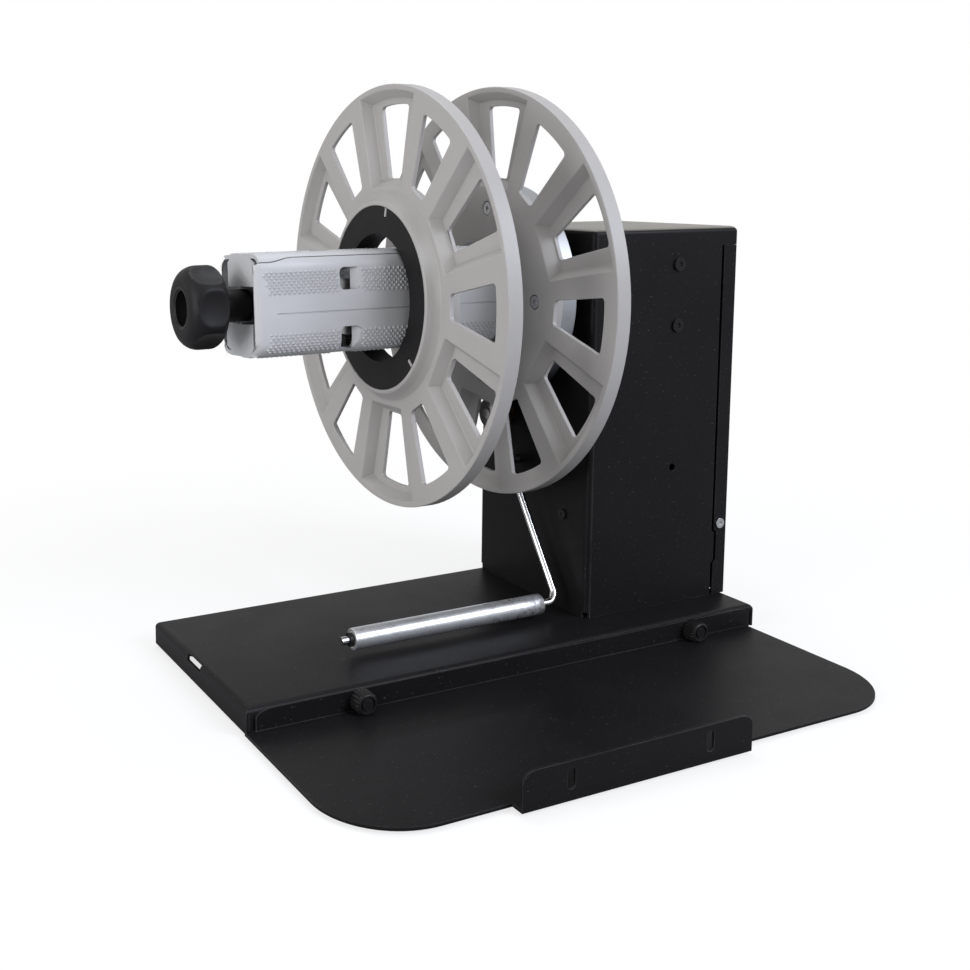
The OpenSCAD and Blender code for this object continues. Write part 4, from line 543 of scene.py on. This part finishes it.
def turned(rings, segments):
    """A closed mesh turned about local Z. Each ring is (height, radius), the radius a number or a
    function of the turn, and the first and last rings close to a point when their radius is zero."""
    bm = bmesh.new()
    rows = []
    for height, radius in rings:
        if radius == 0:
            rows.append([bm.verts.new((0, 0, height))])
            continue
        row = []
        for k in range(segments):
            a = 2 * math.pi * k / segments
            r = radius(a) if callable(radius) else radius
            row.append(bm.verts.new((r * math.cos(a), r * math.sin(a), height)))
        rows.append(row)
    for lower, upper in zip(rows, rows[1:]):
        for k in range(segments):
            n = (k + 1) % segments
            corners = [lower[k % len(lower)], lower[n % len(lower)]]
            corners += [upper[n % len(upper)], upper[k % len(upper)]]
            corners = list(dict.fromkeys(corners))
            if len(corners) > 2:
                bm.faces.new(corners)
    return bm


def corner(height, radius, rounding, start, steps=4):
    """Rings of a quarter round. Its middle is at (height, radius), start its first angle."""
    return [
        (
            height + rounding * math.sin(math.radians(start + 90 * k / steps)),
            radius + rounding * math.cos(math.radians(start + 90 * k / steps)),
        )
        for k in range(steps + 1)
    ]


# Pieces


def close_corner():
    """A warp that draws the end of the tray's front wall up to the left wall."""
    s = sizes()
    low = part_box("base_tray")[0]
    left_wall = low.x + s.sheet + s.corner_gap
    front_wall = low.y + s.sheet + s.corner_gap

    def warp(point):
        at_end = s.sheet * 1.2 < point.x - low.x < s.sheet * 1.7 and point.y < front_wall
        return Vector((left_wall, point.y, point.z)) if at_end else point

    return warp


def close_joint():
    """A warp that draws the rear cover's top edge up to the shell's folded edge."""
    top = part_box("rear_cover")[1].z - sizes().weld
    lift = Vector((0, 0, sizes().cover_joint))
    return lambda point: point + lift if point.z > top else point


def make_base():
    dressed("base_tray", sizes().sheet_edge, warp=close_corner())
    bare("tall_feet", "foot_screws", "clinch_nuts")


def make_front_plate():
    dressed("front_plate", sizes().sheet_edge)
    bare("plate_pads")


def thumb_screw_rings(radius, span, ribs):
    """Rings of a ribbed head with a groove in its face, and of the plain shank."""
    head, shank, rib = radius * 1.583, radius * 0.3125, sizes().thumb_rib
    soft = head / 12
    groove, chamfer = soft * 1.2, soft * 1.4

    def ribbed(a):
        return radius - rib * abs(math.sin(a * ribs / 2)) ** 1.5

    return [
        (0, 0),
        (0, radius * 0.45),
        (groove, radius * 0.5),
        (groove, radius * 0.66),
        (0, radius * 0.72),
        (0, radius - soft * 1.6),
        (chamfer - soft, radius - soft),
        (chamfer, ribbed),
        (head - chamfer, ribbed),
        (head - chamfer + soft, radius - soft),
        (head, radius - soft * 1.6),
        (head, shank),
        (span, shank),
        (span, 0),
    ]


def make_thumb_screws():
    ribs = 20
    for side in ("left", "right"):
        node = "thumb_screw_" + side
        low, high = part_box(node)
        radius = (high.x - low.x) / 2 + sizes().thumb_rib
        middle = Vector(((low.x + high.x) / 2, low.y, (low.z + high.z) / 2))
        bm = turned(thumb_screw_rings(radius, high.y - low.y, ribs), ribs * 8)
        keep(node + "_finish", bm, facing(middle, (0, 1, 0)), "black_screw", node_body(node), (node,))


def make_tower():
    dressed("tower_shell", sizes().sheet_edge)
    dressed("rear_cover", sizes().sheet_edge, warp=close_joint())
    bare("arm_stop")


def make_tower_screws():
    """Round socket heads on the tower's walls."""
    for node in ("cover_screws", "bracket_screws", "board_screws"):
        dressed(node, sizes().small_edge)
    bare("housing_screws")


def make_drive():
    """Everything inside the tower."""
    bare("bearing_housing", "bearing_outer", "bearing_inner", "motor_bracket", "gearbox", "motor_can")
    bare("gearbox_screws", "control_board", "board_parts", "arm_sensor", "arm_bush", "spindle_shaft")
    bare("shaft_coupler")


def make_rear_panel():
    for node in ("switch_body", "rocker", "power_inlet", "tension_dial"):
        dressed(node, sizes().small_edge)
    bare("dial_sensor")


def narrow_bore():
    """A warp that draws the adapter ring's bore in round the rounded jaws."""
    y, z = spindle_axis()
    bore, reach = sizes().ring_bore, sizes().ring_bore + sizes().bore_reach

    def warp(point):
        away = Vector((0, point.y - y, point.z - z))
        if away.length > reach:
            return point
        return Vector((point.x, y, z)) + away.normalized() * bore

    return warp


def make_flanges():
    dressed("rear_flange", sizes().moulded_edge, segments=3)
    dressed("front_flange", sizes().moulded_edge, segments=3)
    dressed("adapter_ring", sizes().ring_edge, warp=narrow_bore())
    dressed("hub_disc", sizes().ring_edge)
    dressed("flange_screws", sizes().small_edge)


def arc_point(side, radius, turn):
    """Point of a rounded corner, above (side 1) or below (side -1) the jaw's middle, by its angle
    from the face."""
    s = sizes()
    mid = s.jaw_half - s.jaw_fall - s.corner_radius
    return Vector((mid + radius * math.cos(turn), side * (mid + radius * math.sin(turn)), 0))


def jaw_section(low_shift, high_shift, sunk):
    """Outer and inner points across one jaw, from its lower to its upper seam. A shift says how
    far the seam lies past its corner's middle, and sunk how deep the fine line is."""
    s = sizes()
    radii = (s.corner_radius, s.corner_radius + s.jaw_fall - s.jaw_wall)
    inner = s.jaw_half - s.jaw_wall
    steps = 7
    corners = {}
    for side, shift in ((-1, -low_shift), (1, high_shift)):
        ends = [math.pi / 4 + math.asin(shift / radius) for radius in radii]
        corners[side] = [
            [arc_point(side, radius, end * k / steps) for radius, end in zip(radii, ends)]
            for k in range(1, steps + 1)
        ]
    edge = s.jaw_half - s.jaw_fall
    mid = edge - s.corner_radius
    half = s.line_width / 2
    flats = [
        (edge, -mid),
        (s.jaw_half, s.band_low),
        (s.jaw_half, s.line_low - half * 1.2),
        (s.jaw_half - sunk, s.line_low - half),
        (s.jaw_half - sunk, s.line_low + half),
        (s.jaw_half, s.line_low + half * 1.2),
        (s.jaw_half, s.band_high),
        (edge, mid),
    ]
    middle = [[Vector((out, up, 0)), Vector((inner, up, 0))] for out, up in flats]
    return corners[-1][::-1] + middle + corners[1]


def jaw_shell(span, low_seam, high_seam, end_plate):
    """Closed shell of one jaw. Local Z runs from its right end to its left one, and each seam is
    its shift and how far it swings back near the left end. A jaw with an end plate stops there.
    Each column is its place, how far the seams have swung and how far the nose has fallen in."""
    s = sizes()
    swing_from, swing_len, swings = span * 0.84, span * 0.1, 8
    flat_end = span - s.jaw_nose
    nose_step = math.radians(8.8)
    columns = [(0, 0, 0), (swing_from * 0.5, 0, 0)]
    for k in range(swings + 1):
        back = (1 - math.cos(math.pi * k / swings)) / 2
        columns.append((swing_from + swing_len * k / swings, back, 0))
    if end_plate:
        columns.append((span - s.end_in, 1, 0))
    else:
        for k in range(8):
            out, down = math.sin(nose_step * k), 1 - math.cos(nose_step * k)
            columns.append((flat_end + s.jaw_nose * out, 1, s.jaw_nose * down))
    bm = bmesh.new()
    grid = []
    for z, swing, inset in columns:
        sunk = s.line_width * 0.6 if z < span - s.line_start else 0
        low = low_seam[0] + s.seam_gap / 2 - low_seam[1] * swing
        high = high_seam[0] - s.seam_gap / 2 - high_seam[1] * swing
        section = jaw_section(low, high, sunk)
        row = []
        for outer, inner in section:
            back = (outer - inner).normalized() * inset
            row.append([bm.verts.new((p.x, p.y, z)) for p in (outer - back, inner)])
        grid.append(row)
    rows = len(grid[0])
    for a, b in zip(grid, grid[1:]):
        for k in range(rows - 1):
            for side in (0, 1):
                bm.faces.new((a[k][side], a[k + 1][side], b[k + 1][side], b[k][side]))
        for k in (0, rows - 1):
            bm.faces.new((a[k][0], b[k][0], b[k][1], a[k][1]))
    for end in (grid[0], grid[-1]):
        for k in range(rows - 1):
            bm.faces.new((end[k][0], end[k + 1][0], end[k + 1][1], end[k][1]))
    return bm


def prism(bm, first, second):
    """Adds a closed prism between two outlines of as many points."""
    rows = [[bm.verts.new(point) for point in outline] for outline in (first, second)]
    for row in rows:
        bm.faces.new(row)
    for k in range(len(first)):
        n = (k + 1) % len(first)
        bm.faces.new((rows[0][k], rows[0][n], rows[1][n], rows[1][k]))


def pillar(bm, outline, floor, top):
    """Adds a prism on an outline of (up, left) points, between a floor that each point has by
    itself and a common top, both along local X."""
    prism(bm, [(floor(z), y, z) for y, z in outline], [(top, y, z) for y, z in outline])


def window_cutters(middle, places):
    """Two cutters for the windows of a jaw at the given heights: the through holes, and the ramps
    that rise from them to the right."""
    s = sizes()
    half_z, half_y, soft = s.window_size / 2, s.window_height / 2, s.window_size / 4.5
    ramp_foot = middle - half_z
    hole_edge = middle + half_z - s.window_size * 0.62
    slope = s.jaw_wall * 0.95 / (hole_edge - ramp_foot)
    top, floor = s.jaw_half * 1.3, s.jaw_half * 0.75
    holes, ramps = bmesh.new(), bmesh.new()

    def rounded(place, ends):
        """Outline with rounded corners at the given (side up, side left, first angle) ends."""
        points = []
        for up, left, start in ends:
            for k in range(6):
                a = math.radians(start + 18 * k)
                points.append((
                    place + up * (half_y - soft) + soft * math.sin(a),
                    middle + left * (half_z - soft) + soft * math.cos(a),
                ))
        return points

    for place in places:
        whole = rounded(place, ((1, 1, 0), (1, -1, 90), (-1, -1, 180), (-1, 1, 270)))
        pillar(ramps, whole, lambda z: s.jaw_half - (z - ramp_foot) * slope, top)
        deep = rounded(place, ((-1, 1, 270), (1, 1, 0)))
        deep += [(place + half_y, hole_edge), (place - half_y, hole_edge)]
        pillar(holes, deep, lambda z: floor, top)
    return [holes, ramps]


def carved(bm, cutters):
    """The mesh with the cutters' closed meshes taken out of it one after the other."""
    blanks = []
    for source in (bm, *cutters):
        bmesh.ops.recalc_face_normals(source, faces=source.faces)
        mesh = bpy.data.meshes.new("blank")
        source.to_mesh(mesh)
        source.free()
        blanks.append(bpy.data.objects.new("blank", mesh))
        bpy.context.scene.collection.objects.link(blanks[-1])
    body, tools = blanks[0], blanks[1:]
    for tool in tools:
        cut = body.modifiers.new("cut", "BOOLEAN")
        cut.operation = "DIFFERENCE"
        cut.solver = "EXACT"
        cut.object = tool
    bpy.context.view_layer.update()
    result = bmesh.new()
    result.from_object(body, bpy.context.evaluated_depsgraph_get())
    for blank in blanks:
        mesh = blank.data
        bpy.data.objects.remove(blank)
        bpy.data.meshes.remove(mesh)
    return result


def end_plate_outline():
    """Outline of one half of the holder's end as (out, up) points, chosen round the knob's neck."""
    s = sizes()
    low, high, half = s.neck_radius + s.neck_room, s.jaw_half + s.jaw_fall, s.jaw_half
    nib = half / 24
    return [
        (low, nib),
        (low, half * 0.57),
        (half * 0.84, half * 0.57),
        (half * 0.89, half * 0.49),
        (high, half * 0.35),
        (high, half * 0.04),
        (half * 0.94, -half * 0.44),
        (half * 0.82, -half * 0.74),
        (low, -half * 0.74),
        (low, -nib),
        (low - nib / 2, -nib),
        (low - nib / 2, nib),
    ]


def add_jaw_insides(bm, span, end_plate):
    """Guide posts, wedge pads and, on two jaws, the end plate."""
    s = sizes()
    inner = s.jaw_half - s.jaw_wall * 0.8
    wedge = 0.2
    low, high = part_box("wedge_sleeves")
    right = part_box("jaw_near")[1].x
    for left in (low.x, high.x - s.sleeve):
        z = right - left - s.sleeve
        ends = (z + s.pad_short, z + s.sleeve - s.pad_short)
        outline = [(s.pad_half, ends[0]), (s.pad_half, ends[1])]
        outline += [(-s.pad_half, ends[1]), (-s.pad_half, ends[0])]
        pillar(bm, outline, lambda at: s.pad_root - (at - z) * wedge, inner)
    for z in (span * 5 / 6, 2 * s.post_radius):
        ring = [math.radians(15 * k) for k in range(24)]
        outline = [(s.post_radius * math.cos(a), z + s.post_radius * math.sin(a)) for a in ring]
        pillar(bm, outline, lambda at: s.post_root, inner)
    if end_plate:
        front = span - s.end_in + s.plate_out
        outline = end_plate_outline()
        prism(bm, *[[(x, y, z) for x, y in outline] for z in (front - s.jaw_wall, front)])


def knurl_path(points, steps):
    """Evenly spaced places and outward directions along a line of points across the face."""
    lengths = [(b - a).length for a, b in zip(points, points[1:])]
    places = []
    for k in range(steps + 1):
        left = sum(lengths) * k / steps
        for (a, b), run in zip(zip(points, points[1:]), lengths):
            if left <= run + 1e-9:
                break
            left -= run
        along = (b - a).normalized() * (1 if points[-1].y > points[0].y else -1)
        places.append((a.lerp(b, min(1.0, left / run)), Vector((along.y, -along.x, 0))))
    return places


def knurl_band(bm, points, insets, span, gap):
    """Pyramids on one knurled band: a lattice whose odd inner points stand proud. insets say how
    far it starts from the jaw's left end at its two edges, gap is what the windows take."""
    s = sizes()
    run = sum((b - a).length for a, b in zip(points, points[1:]))
    rows = round(run / (s.knurl_rise / 2))
    step = s.knurl_pitch / 2
    columns = int(span / step)
    places = knurl_path(points, rows)

    def inside(i, j):
        start = insets[0] + (insets[1] - insets[0]) * j / rows
        return 0 <= j <= rows and i > 0 and span - i * step > start and not gap[0] < i * step < gap[1]

    lattice = {}
    for i in range(columns + 1):
        for j in range(rows + 1):
            if not inside(i, j):
                continue
            deep = all(inside(i + a, j + b) for a in (-1, 0, 1) for b in (-1, 0, 1))
            lift = s.knurl_depth * 0.7 if deep and (i + j) % 2 else -s.knurl_depth * 0.1
            at = places[j][0] + places[j][1] * lift
            lattice[i, j] = bm.verts.new((at.x, at.y, i * step))
    for i, j in list(lattice):
        corners = [(i, j), (i, j + 1), (i + 1, j + 1), (i + 1, j)]
        if not all(c in lattice for c in corners):
            continue
        a, b, c, d = (lattice[k] for k in corners)
        for face in (((a, b, d), (b, c, d)) if (i + j) % 2 else ((a, b, c), (a, c, d))):
            bm.faces.new(face)


def make_core_holder():
    """Jaws with rounded corners, windows and real knurl, and the parts inside them. The top and
    bottom jaws carry end plates and have one window and one knurled band each."""
    s = sizes()
    low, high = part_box("jaw_near")
    span = high.x - low.x
    middle = span - s.window_in
    gap = (middle - s.window_size / 2, middle + s.window_size / 2)
    edge = s.jaw_half - s.jaw_fall
    row = s.knurl_rise / 2
    upper = [
        Vector((s.jaw_half, s.band_high - row, 0)),
        Vector((edge, s.band_high + s.knurl_upper + row, 0)),
    ]
    lower = [Vector((s.jaw_half, s.band_low + row, 0)), Vector((edge, s.corner_radius - edge, 0))]
    lower += [arc_point(-1, s.corner_radius, math.radians(9 * k)) for k in range(1, 7)]
    ahead = (s.seam_shift, s.seam_swing)
    behind = (-s.seam_back, 0)
    for turn, name in enumerate(("near", "top", "far", "bottom")):
        node = "jaw_" + name
        plated = name in ("top", "bottom")
        seams = (ahead, behind) if plated else (behind, ahead)
        place = on_spindle(high.x, s.holder_turn + turn * math.pi / 2)
        shell = jaw_shell(span - (s.far_short if name == "far" else 0), *seams, plated)
        places = (s.window_high,) if plated else (s.window_high, s.window_low)
        bm = carved(shell, window_cutters(middle, places))
        add_jaw_insides(bm, span, plated)
        piece = keep(node + "_finish", bm, place, "jaw_grey", node_body(node), (node,), 28.0)
        soften(piece, s.jaw_edge, 28.0)
        bm = bmesh.new()
        knurl_band(bm, upper, (s.knurl_inset, s.knurl_corner), span, gap)
        if not plated:
            knurl_band(bm, lower, (s.knurl_inset, s.knurl_round), span, gap)
        keep("knurl_" + name, bm, place, "jaw_grey", node_body(node), smooth=1.0)
    dressed("jaw_carrier", s.small_edge)
    dressed("wedge_sleeves", s.small_edge)
    bare("carrier_screws", "lead_bushes", "draw_nuts", "draw_pins", "lead_screw")


def make_knob():
    """Barrel knob with six scooped grips, a recessed face and a plain neck."""
    s = sizes()
    low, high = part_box("knob")
    neck = (high.x - low.x) - s.knob_length + s.knob_reach
    edge = s.knob_length / 4
    soft = s.knob_length / 12
    centre = s.knob_radius + s.scoop_radius - s.scoop_depth
    middle = neck + s.knob_length * 0.42
    grips = 6

    def scooped(height, radius):
        """Radius by turn: the plain outline or the scoop's ball, whichever is less, eased."""

        def by_turn(a):
            gap = (a - s.grip_turn) % (2 * math.pi / grips)
            away = min(gap, 2 * math.pi / grips - gap)
            inside = s.scoop_radius ** 2 - (centre * math.sin(away)) ** 2 - (height - middle) ** 2
            ball = centre * math.cos(away) - math.sqrt(max(inside, 0)) if inside > 0 else radius * 2
            return (radius + ball - math.sqrt((radius - ball) ** 2 + s.scoop_ease ** 2)) / 2

        return (height, by_turn)

    outline = corner(neck + edge, s.knob_radius - edge, edge, -90, 8)
    nose = s.knob_radius * 0.64
    rise = edge * 1.8
    top = neck + s.knob_length
    waist = [
        (outline[-1][0] + (top - rise - outline[-1][0]) * k / 14, s.knob_radius) for k in range(1, 15)
    ]
    cap = [
        (
            top - rise + rise * math.sin(math.radians(9 * k)),
            nose + (s.knob_radius - nose) * math.cos(math.radians(9 * k)),
        )
        for k in range(1, 11)
    ]
    rings = [
        (0, 0),
        (0, s.neck_radius - soft / 3),
        (soft / 3, s.neck_radius),
        (neck, s.neck_radius),
        *[scooped(h, r) for h, r in outline + waist + cap],
        (top, s.recess_radius + soft),
        *corner(top - soft, s.recess_radius + soft, -soft, -90)[::-1][1:],
        (top - s.recess_depth, s.recess_radius),
        (top - s.recess_depth, 0),
    ]
    keep("knob_finish", turned(rings, 180), on_spindle(high.x), "knob_black", node_body("knob"), ("knob",))


def make_arm():
    dressed("dancer_arm", sizes().small_edge)
    bare("arm_shaft", "roller_bushes")
    low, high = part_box("roller_tube")
    radius = (high.z - low.z) / 2
    wall = radius * 0.26
    soft = radius / 12
    span = high.x - low.x
    rings = [
        (soft / 2, radius - wall),
        (0, radius - wall + soft / 2),
        (0, radius - soft),
        *corner(soft, radius - soft, soft, -90),
        *[(span * k / 8, radius) for k in range(1, 8)],
        *corner(span - soft, radius - soft, soft, 0),
        (span, radius - wall + soft / 2),
        (span - soft / 2, radius - wall),
        (soft / 2, radius - wall),
    ]
    place = facing((low.x, (low.y + high.y) / 2, (low.z + high.z) / 2), (1, 0, 0))
    body = node_body("roller_tube")
    keep("roller_finish", turned(rings, 72), place, "roller_steel", body, ("roller_tube",))
    dressed("roller_clip", sizes().small_edge)


# Stage

CAMERA_PLACE = (-0.356055, -0.51558, 0.24532)
CAMERA_AZIMUTH = math.radians(-25.566)
CAMERA_ELEVATION = math.radians(7.273)
CAMERA_ROLL = math.radians(-0.339)
CAMERA_LENS = 45.51
CAMERA_SHIFT = (0.19509, -0.15654)


def make_camera():
    """Looks from the left and a little above, as the photograph does."""
    data = bpy.data.cameras.new("camera")
    data.sensor_width = 36
    data.lens = CAMERA_LENS
    data.shift_x, data.shift_y = CAMERA_SHIFT
    back = Vector((
        math.sin(CAMERA_AZIMUTH) * math.cos(CAMERA_ELEVATION),
        -math.cos(CAMERA_AZIMUTH) * math.cos(CAMERA_ELEVATION),
        math.sin(CAMERA_ELEVATION),
    ))
    level = Vector((math.cos(CAMERA_AZIMUTH), math.sin(CAMERA_AZIMUTH), 0))
    steep = back.cross(level)
    right = math.cos(CAMERA_ROLL) * level + math.sin(CAMERA_ROLL) * steep
    up = -math.sin(CAMERA_ROLL) * level + math.cos(CAMERA_ROLL) * steep
    camera = bpy.data.objects.new("camera", data)
    camera.matrix_world = Matrix.Translation(CAMERA_PLACE) @ Matrix((right, up, back)).transposed().to_4x4()
    bpy.context.scene.collection.objects.link(camera)
    bpy.context.scene.camera = camera


def make_lamp(name, place, target, size, power, tint):
    """A soft square lamp that faces its target."""
    data = bpy.data.lights.new(name, "AREA")
    data.shape = "SQUARE"
    data.size = size
    data.energy = power
    data.color = tint
    lamp = bpy.data.objects.new(name, data)
    lamp.location = place
    lamp.rotation_euler = (Vector(place) - Vector(target)).to_track_quat("Z", "Y").to_euler()
    bpy.context.scene.collection.objects.link(lamp)


def make_floor():
    """Pale floor that keeps the machine's shadow and glows white further off."""
    bm = bmesh.new()
    half = 4.0
    bm.faces.new([bm.verts.new((x * half, y * half, 0)) for x, y in ((-1, -1), (1, -1), (1, 1), (-1, 1))])
    mesh = bpy.data.meshes.new("floor")
    bm.to_mesh(mesh)
    bm.free()
    floor = bpy.data.objects.new("floor", mesh)
    bpy.context.scene.collection.objects.link(floor)
    f = Finish("floor")
    glow = f.add("ShaderNodeEmission", {"Color": (1, 1, 1, 1), "Strength": 1.0})
    seen = f.add("ShaderNodeLightPath").outputs["Is Camera Ray"]
    bounce, shadow_end, white_from, near_glow = 0.45, 0.18, 0.5, 0.75
    tone = f.mix(seen, lighter(colours().floor, bounce), colours().floor)
    f.set(Base_Color=tone, Roughness=0.8, Specular_IOR_Level=0.0)
    spot = f.add("ShaderNodeVectorMath", {0: f.place, 1: (1.0, 1.0, 0.0)}, operation="MULTIPLY")
    away = f.add("ShaderNodeVectorMath", {0: spot.outputs[0]}, operation="LENGTH").outputs["Value"]
    share = f.maths("MULTIPLY", seen, f.ramp(away, shadow_end, white_from, near_glow, 1.0))
    both = f.add("ShaderNodeMixShader", {0: share, 1: f.shader.outputs[0], 2: glow.outputs[0]})
    f.tree.links.new(both.outputs[0], f.tree.nodes["Material Output"].inputs["Surface"])
    mesh.materials.append(f.material)


def make_world():
    """Even soft light; the camera sees plain white, and mirrors a little less."""
    world = bpy.data.worlds.new("studio")
    world.use_nodes = True
    bpy.context.scene.world = world
    nodes = Nodes(world.node_tree)
    path = nodes.add("ShaderNodeLightPath").outputs
    mirrored = nodes.maths("MULTIPLY", path["Is Glossy Ray"], 0.5)
    direct = nodes.maths("MAXIMUM", path["Is Transmission Ray"], path["Is Camera Ray"])
    level = nodes.ramp(nodes.maths("MAXIMUM", mirrored, direct), 0.0, 1.0, 0.36, 1.0)
    background = world.node_tree.nodes["Background"]
    world.node_tree.links.new(level, background.inputs["Strength"])
    background.inputs["Color"].default_value = (1, 1, 1, 1)


def make_stage():
    bpy.context.scene.view_settings.view_transform = "Standard"
    make_camera()
    make_floor()
    make_world()
    middle = (0, 0, 0.15)
    make_lamp("key", (0.8, -1.5, 1.2), middle, size=1.0, power=34, tint=(0.82, 0.87, 1.0))
    make_lamp("left", (-1.6, -0.2, 0.45), middle, size=1.0, power=17, tint=(0.96, 0.97, 1.0))
    make_lamp("over", (0.1, 0.5, 1.8), (0, 0, 0.1), size=1.0, power=12, tint=(0.92, 0.95, 1.0))


# Operators


def need(*nodes):
    """Stops an operator when the frame lacks a node that its pieces are made from."""
    missing = [node for node in nodes if node not in frame["nodes"]]
    if missing:
        raise RuntimeError(f"the frame has no {', '.join(missing)}")


class REWINDER_OT_stage(bpy.types.Operator):
    """Camera, floor and soft light."""

    bl_idname = "rewinder.stage"
    bl_label = "Stage"

    def execute(self, context):
        make_stage()
        return {"FINISHED"}


class REWINDER_OT_base(bpy.types.Operator):
    """Folded base tray with its feet."""

    bl_idname = "rewinder.base"
    bl_label = "Base tray"

    def execute(self, context):
        need("base_tray", "tall_feet", "foot_screws", "clinch_nuts")
        make_base()
        return {"FINISHED"}


class REWINDER_OT_front_plate(bpy.types.Operator):
    """Thin plate with its upstand and lip."""

    bl_idname = "rewinder.front_plate"
    bl_label = "Front plate"

    def execute(self, context):
        need("front_plate", "plate_pads")
        make_front_plate()
        return {"FINISHED"}


class REWINDER_OT_thumb_screws(bpy.types.Operator):
    """Two ribbed thumb screws."""

    bl_idname = "rewinder.thumb_screws"
    bl_label = "Thumb screws"

    def execute(self, context):
        need("thumb_screw_left", "thumb_screw_right")
        make_thumb_screws()
        return {"FINISHED"}


class REWINDER_OT_tower(bpy.types.Operator):
    """Tower shell and rear cover."""

    bl_idname = "rewinder.tower"
    bl_label = "Tower"

    def execute(self, context):
        need("tower_shell", "rear_cover", "arm_stop")
        make_tower()
        return {"FINISHED"}


class REWINDER_OT_tower_screws(bpy.types.Operator):
    """Screws in the tower's walls."""

    bl_idname = "rewinder.tower_screws"
    bl_label = "Tower screws"

    def execute(self, context):
        need("cover_screws", "bracket_screws", "board_screws", "housing_screws")
        make_tower_screws()
        return {"FINISHED"}


class REWINDER_OT_drive(bpy.types.Operator):
    """Motor, bearings and electronics."""

    bl_idname = "rewinder.drive"
    bl_label = "Drive"

    def execute(self, context):
        need("bearing_housing", "motor_can", "gearbox", "control_board", "spindle_shaft")
        make_drive()
        return {"FINISHED"}


class REWINDER_OT_rear_panel(bpy.types.Operator):
    """Switch, power inlet and tension dial."""

    bl_idname = "rewinder.rear_panel"
    bl_label = "Rear panel"

    def execute(self, context):
        need("switch_body", "rocker", "power_inlet", "tension_dial")
        make_rear_panel()
        return {"FINISHED"}


class REWINDER_OT_flanges(bpy.types.Operator):
    """Two spoked flanges, the adapter ring and the hub disc."""

    bl_idname = "rewinder.flanges"
    bl_label = "Flanges"

    def execute(self, context):
        need("rear_flange", "front_flange", "adapter_ring", "hub_disc", "flange_screws")
        make_flanges()
        return {"FINISHED"}


class REWINDER_OT_core_holder(bpy.types.Operator):
    """Four knurled jaws and what opens them."""

    bl_idname = "rewinder.core_holder"
    bl_label = "Core holder"

    def execute(self, context):
        need("jaw_near", "jaw_top", "jaw_far", "jaw_bottom", "wedge_sleeves")
        make_core_holder()
        return {"FINISHED"}


class REWINDER_OT_knob(bpy.types.Operator):
    """Scooped hand knob."""

    bl_idname = "rewinder.knob"
    bl_label = "Hand knob"

    def execute(self, context):
        need("knob")
        make_knob()
        return {"FINISHED"}


class REWINDER_OT_arm(bpy.types.Operator):
    """Dancer arm's rod and its roller."""

    bl_idname = "rewinder.arm"
    bl_label = "Dancer arm"

    def execute(self, context):
        need("dancer_arm", "roller_tube", "roller_clip")
        make_arm()
        return {"FINISHED"}


OPERATORS = [
    REWINDER_OT_stage,
    REWINDER_OT_base,
    REWINDER_OT_front_plate,
    REWINDER_OT_thumb_screws,
    REWINDER_OT_tower,
    REWINDER_OT_tower_screws,
    REWINDER_OT_drive,
    REWINDER_OT_rear_panel,
    REWINDER_OT_flanges,
    REWINDER_OT_core_holder,
    REWINDER_OT_knob,
    REWINDER_OT_arm,
]


class REWINDER_PT_pieces(bpy.types.Panel):
    """Lists the pieces and the sizes and colours behind them."""

    bl_idname = "REWINDER_PT_pieces"
    bl_label = "Label rewinder"
    bl_space_type = "VIEW_3D"
    bl_region_type = "UI"
    bl_category = "Rewinder"

    def draw(self, context):
        for operator in OPERATORS:
            self.layout.operator(operator.bl_idname)
        for group in (context.scene.rewinder_sizes, context.scene.rewinder_colours):
            box = self.layout.box()
            for name in group.__annotations__:
                box.prop(group, name)


CLASSES = [RewinderSizes, RewinderColours, *OPERATORS, REWINDER_PT_pieces]


def register():
    for kind in CLASSES:
        bpy.utils.register_class(kind)
    bpy.types.Scene.rewinder_sizes = bpy.props.PointerProperty(type=RewinderSizes)
    bpy.types.Scene.rewinder_colours = bpy.props.PointerProperty(type=RewinderColours)


def unregister():
    del bpy.types.Scene.rewinder_colours
    del bpy.types.Scene.rewinder_sizes
    for kind in reversed(CLASSES):
        bpy.utils.unregister_class(kind)


def main():
    register()
    for operator in OPERATORS:
        name = operator.bl_idname.split(".")[1]
        getattr(bpy.ops.rewinder, name)()


if __name__ == "__main__":
    main()
